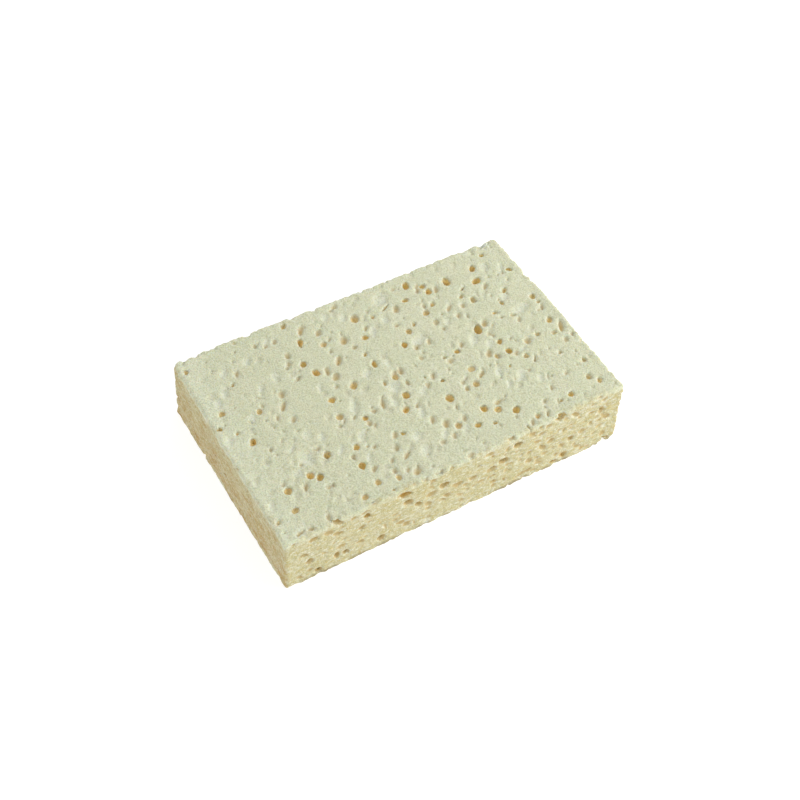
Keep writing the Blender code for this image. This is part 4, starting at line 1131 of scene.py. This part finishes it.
class SPONGE_OT_foam_block(bpy.types.Operator):
    """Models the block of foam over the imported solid"""

    bl_idname = "sponge.foam_block"
    bl_label = "Foam Block"
    MOST_TRIANGLES = 195000

    def execute(self, context):
        sizes = context.scene.sponge_foam
        cell = sizes.cell * 1
        piece = fine_block(cell)
        points = points_of(piece.data)
        sides = {name: Side(name, points) for name in SIDES}
        soften(piece, ROUNDS["block"])
        sharpen_edges(piece, sides, sizes.edge_crispness)
        widen_hollows(piece, sides)
        draw_apart(piece, sides)
        carve_pores(piece, sides)
        soften_side_pores(piece, sides)
        slope_rims(piece, sides)
        warp(piece)
        soften(piece, ROUNDS["pores"])
        wear_surface(piece, sides, sizes)
        stand_on_floor(piece)
        triangles = sum(len(face.vertices) - 2 for face in piece.data.polygons)
        apply_modifier(piece, "DECIMATE", ratio=min(1, self.MOST_TRIANGLES / triangles))
        stand_on_floor(piece)
        bpy.ops.object.shade_smooth()
        mark_surface(piece, sides)
        lay_out_map(piece.data, sides)
        piece.data.materials.append(foam_material(sizes))
        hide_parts(NODE)
        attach(piece, "root")
        return {"FINISHED"}


def camera_matrix():
    """Where the camera stands and how it is turned."""
    azimuth, elevation = math.radians(CAMERA_AZIMUTH), math.radians(CAMERA_ELEVATION)
    back = Vector((
        math.sin(azimuth) * math.cos(elevation),
        -math.cos(azimuth) * math.cos(elevation),
        math.sin(elevation),
    ))
    right = Vector((0, 0, 1)).cross(back).normalized()
    up = back.cross(right)
    turned = Matrix((right, up, back)).transposed() @ Matrix.Rotation(math.radians(CAMERA_ROLL), 3, "Z")
    return Matrix.Translation(Vector(CAMERA_TARGET) + back * CAMERA_DISTANCE) @ turned.to_4x4()


class SPONGE_OT_stage(bpy.types.Operator):
    """Sets the pale floor, the soft light and the camera"""

    bl_idname = "sponge.stage"
    bl_label = "Stage"

    def execute(self, context):
        sizes = context.scene.sponge_stage
        self.add_floor(sizes)
        self.add_light(context, sizes)
        self.add_camera(context)
        return {"FINISHED"}

    @staticmethod
    def add_floor(sizes):
        bpy.ops.object.select_all(action="DESELECT")
        bpy.ops.mesh.primitive_plane_add(size=sizes.floor_size, location=(0, 0, 0))
        floor = bpy.context.object
        floor.name = "floor"
        nodes = Nodes("pale_floor")
        nodes.fill(
            nodes.shader, Base_Color=tuple(sizes.floor_tone), Roughness=0.9, Specular_IOR_Level=0.1,
            Emission_Color=WHITE, Emission_Strength=sizes.floor_glow)
        floor.data.materials.append(nodes.material)

    @staticmethod
    def add_light(context, sizes):
        world = bpy.data.worlds.new("soft_sky")
        world.use_nodes = True
        sky = world.node_tree.nodes["Background"].inputs
        sky["Color"].default_value = WHITE
        sky["Strength"].default_value = sizes.sky_light
        context.scene.world = world
        bpy.ops.object.light_add(type="AREA", location=KEY_PLACE)
        key = bpy.context.object
        key.name = "key_light"
        key.data.size = sizes.key_size
        key.data.energy = sizes.key_light
        key.rotation_euler = key.location.to_track_quat("Z", "Y").to_euler()

    @staticmethod
    def add_camera(context):
        bpy.ops.object.camera_add()
        camera = bpy.context.object
        camera.name = "camera"
        camera.data.lens = CAMERA_LENS_MM
        camera.data.sensor_width = CAMERA_SENSOR_MM
        camera.data.clip_start = 0.01
        camera.matrix_world = camera_matrix()
        context.scene.camera = camera
        context.scene.view_settings.view_transform = "Standard"


class SPONGE_PT_panel(bpy.types.Panel):
    """The steps of the sponge, in the sidebar."""

    bl_idname = "SPONGE_PT_panel"
    bl_label = "Cellulose Sponge"
    bl_space_type = "VIEW_3D"
    bl_region_type = "UI"
    bl_category = "Sponge"

    def draw(self, context):
        for group in (context.scene.sponge_foam, context.scene.sponge_stage):
            box = self.layout.box()
            for name in group.__annotations__:
                box.prop(group, name)
        for step in STEPS:
            self.layout.operator(step.bl_idname)


STEPS = (SPONGE_OT_foam_block, SPONGE_OT_stage)
CLASSES = (SpongeFoamSizes, SpongeStageSizes, *STEPS, SPONGE_PT_panel)


def register():
    for made in CLASSES:
        bpy.utils.register_class(made)
    bpy.types.Scene.sponge_foam = PointerProperty(type=SpongeFoamSizes)
    bpy.types.Scene.sponge_stage = PointerProperty(type=SpongeStageSizes)


def unregister():
    del bpy.types.Scene.sponge_stage
    del bpy.types.Scene.sponge_foam
    for made in reversed(CLASSES):
        bpy.utils.unregister_class(made)


def main():
    register()
    bpy.ops.sponge.foam_block()
    bpy.ops.sponge.stage()


if __name__ == "__main__":
    main()
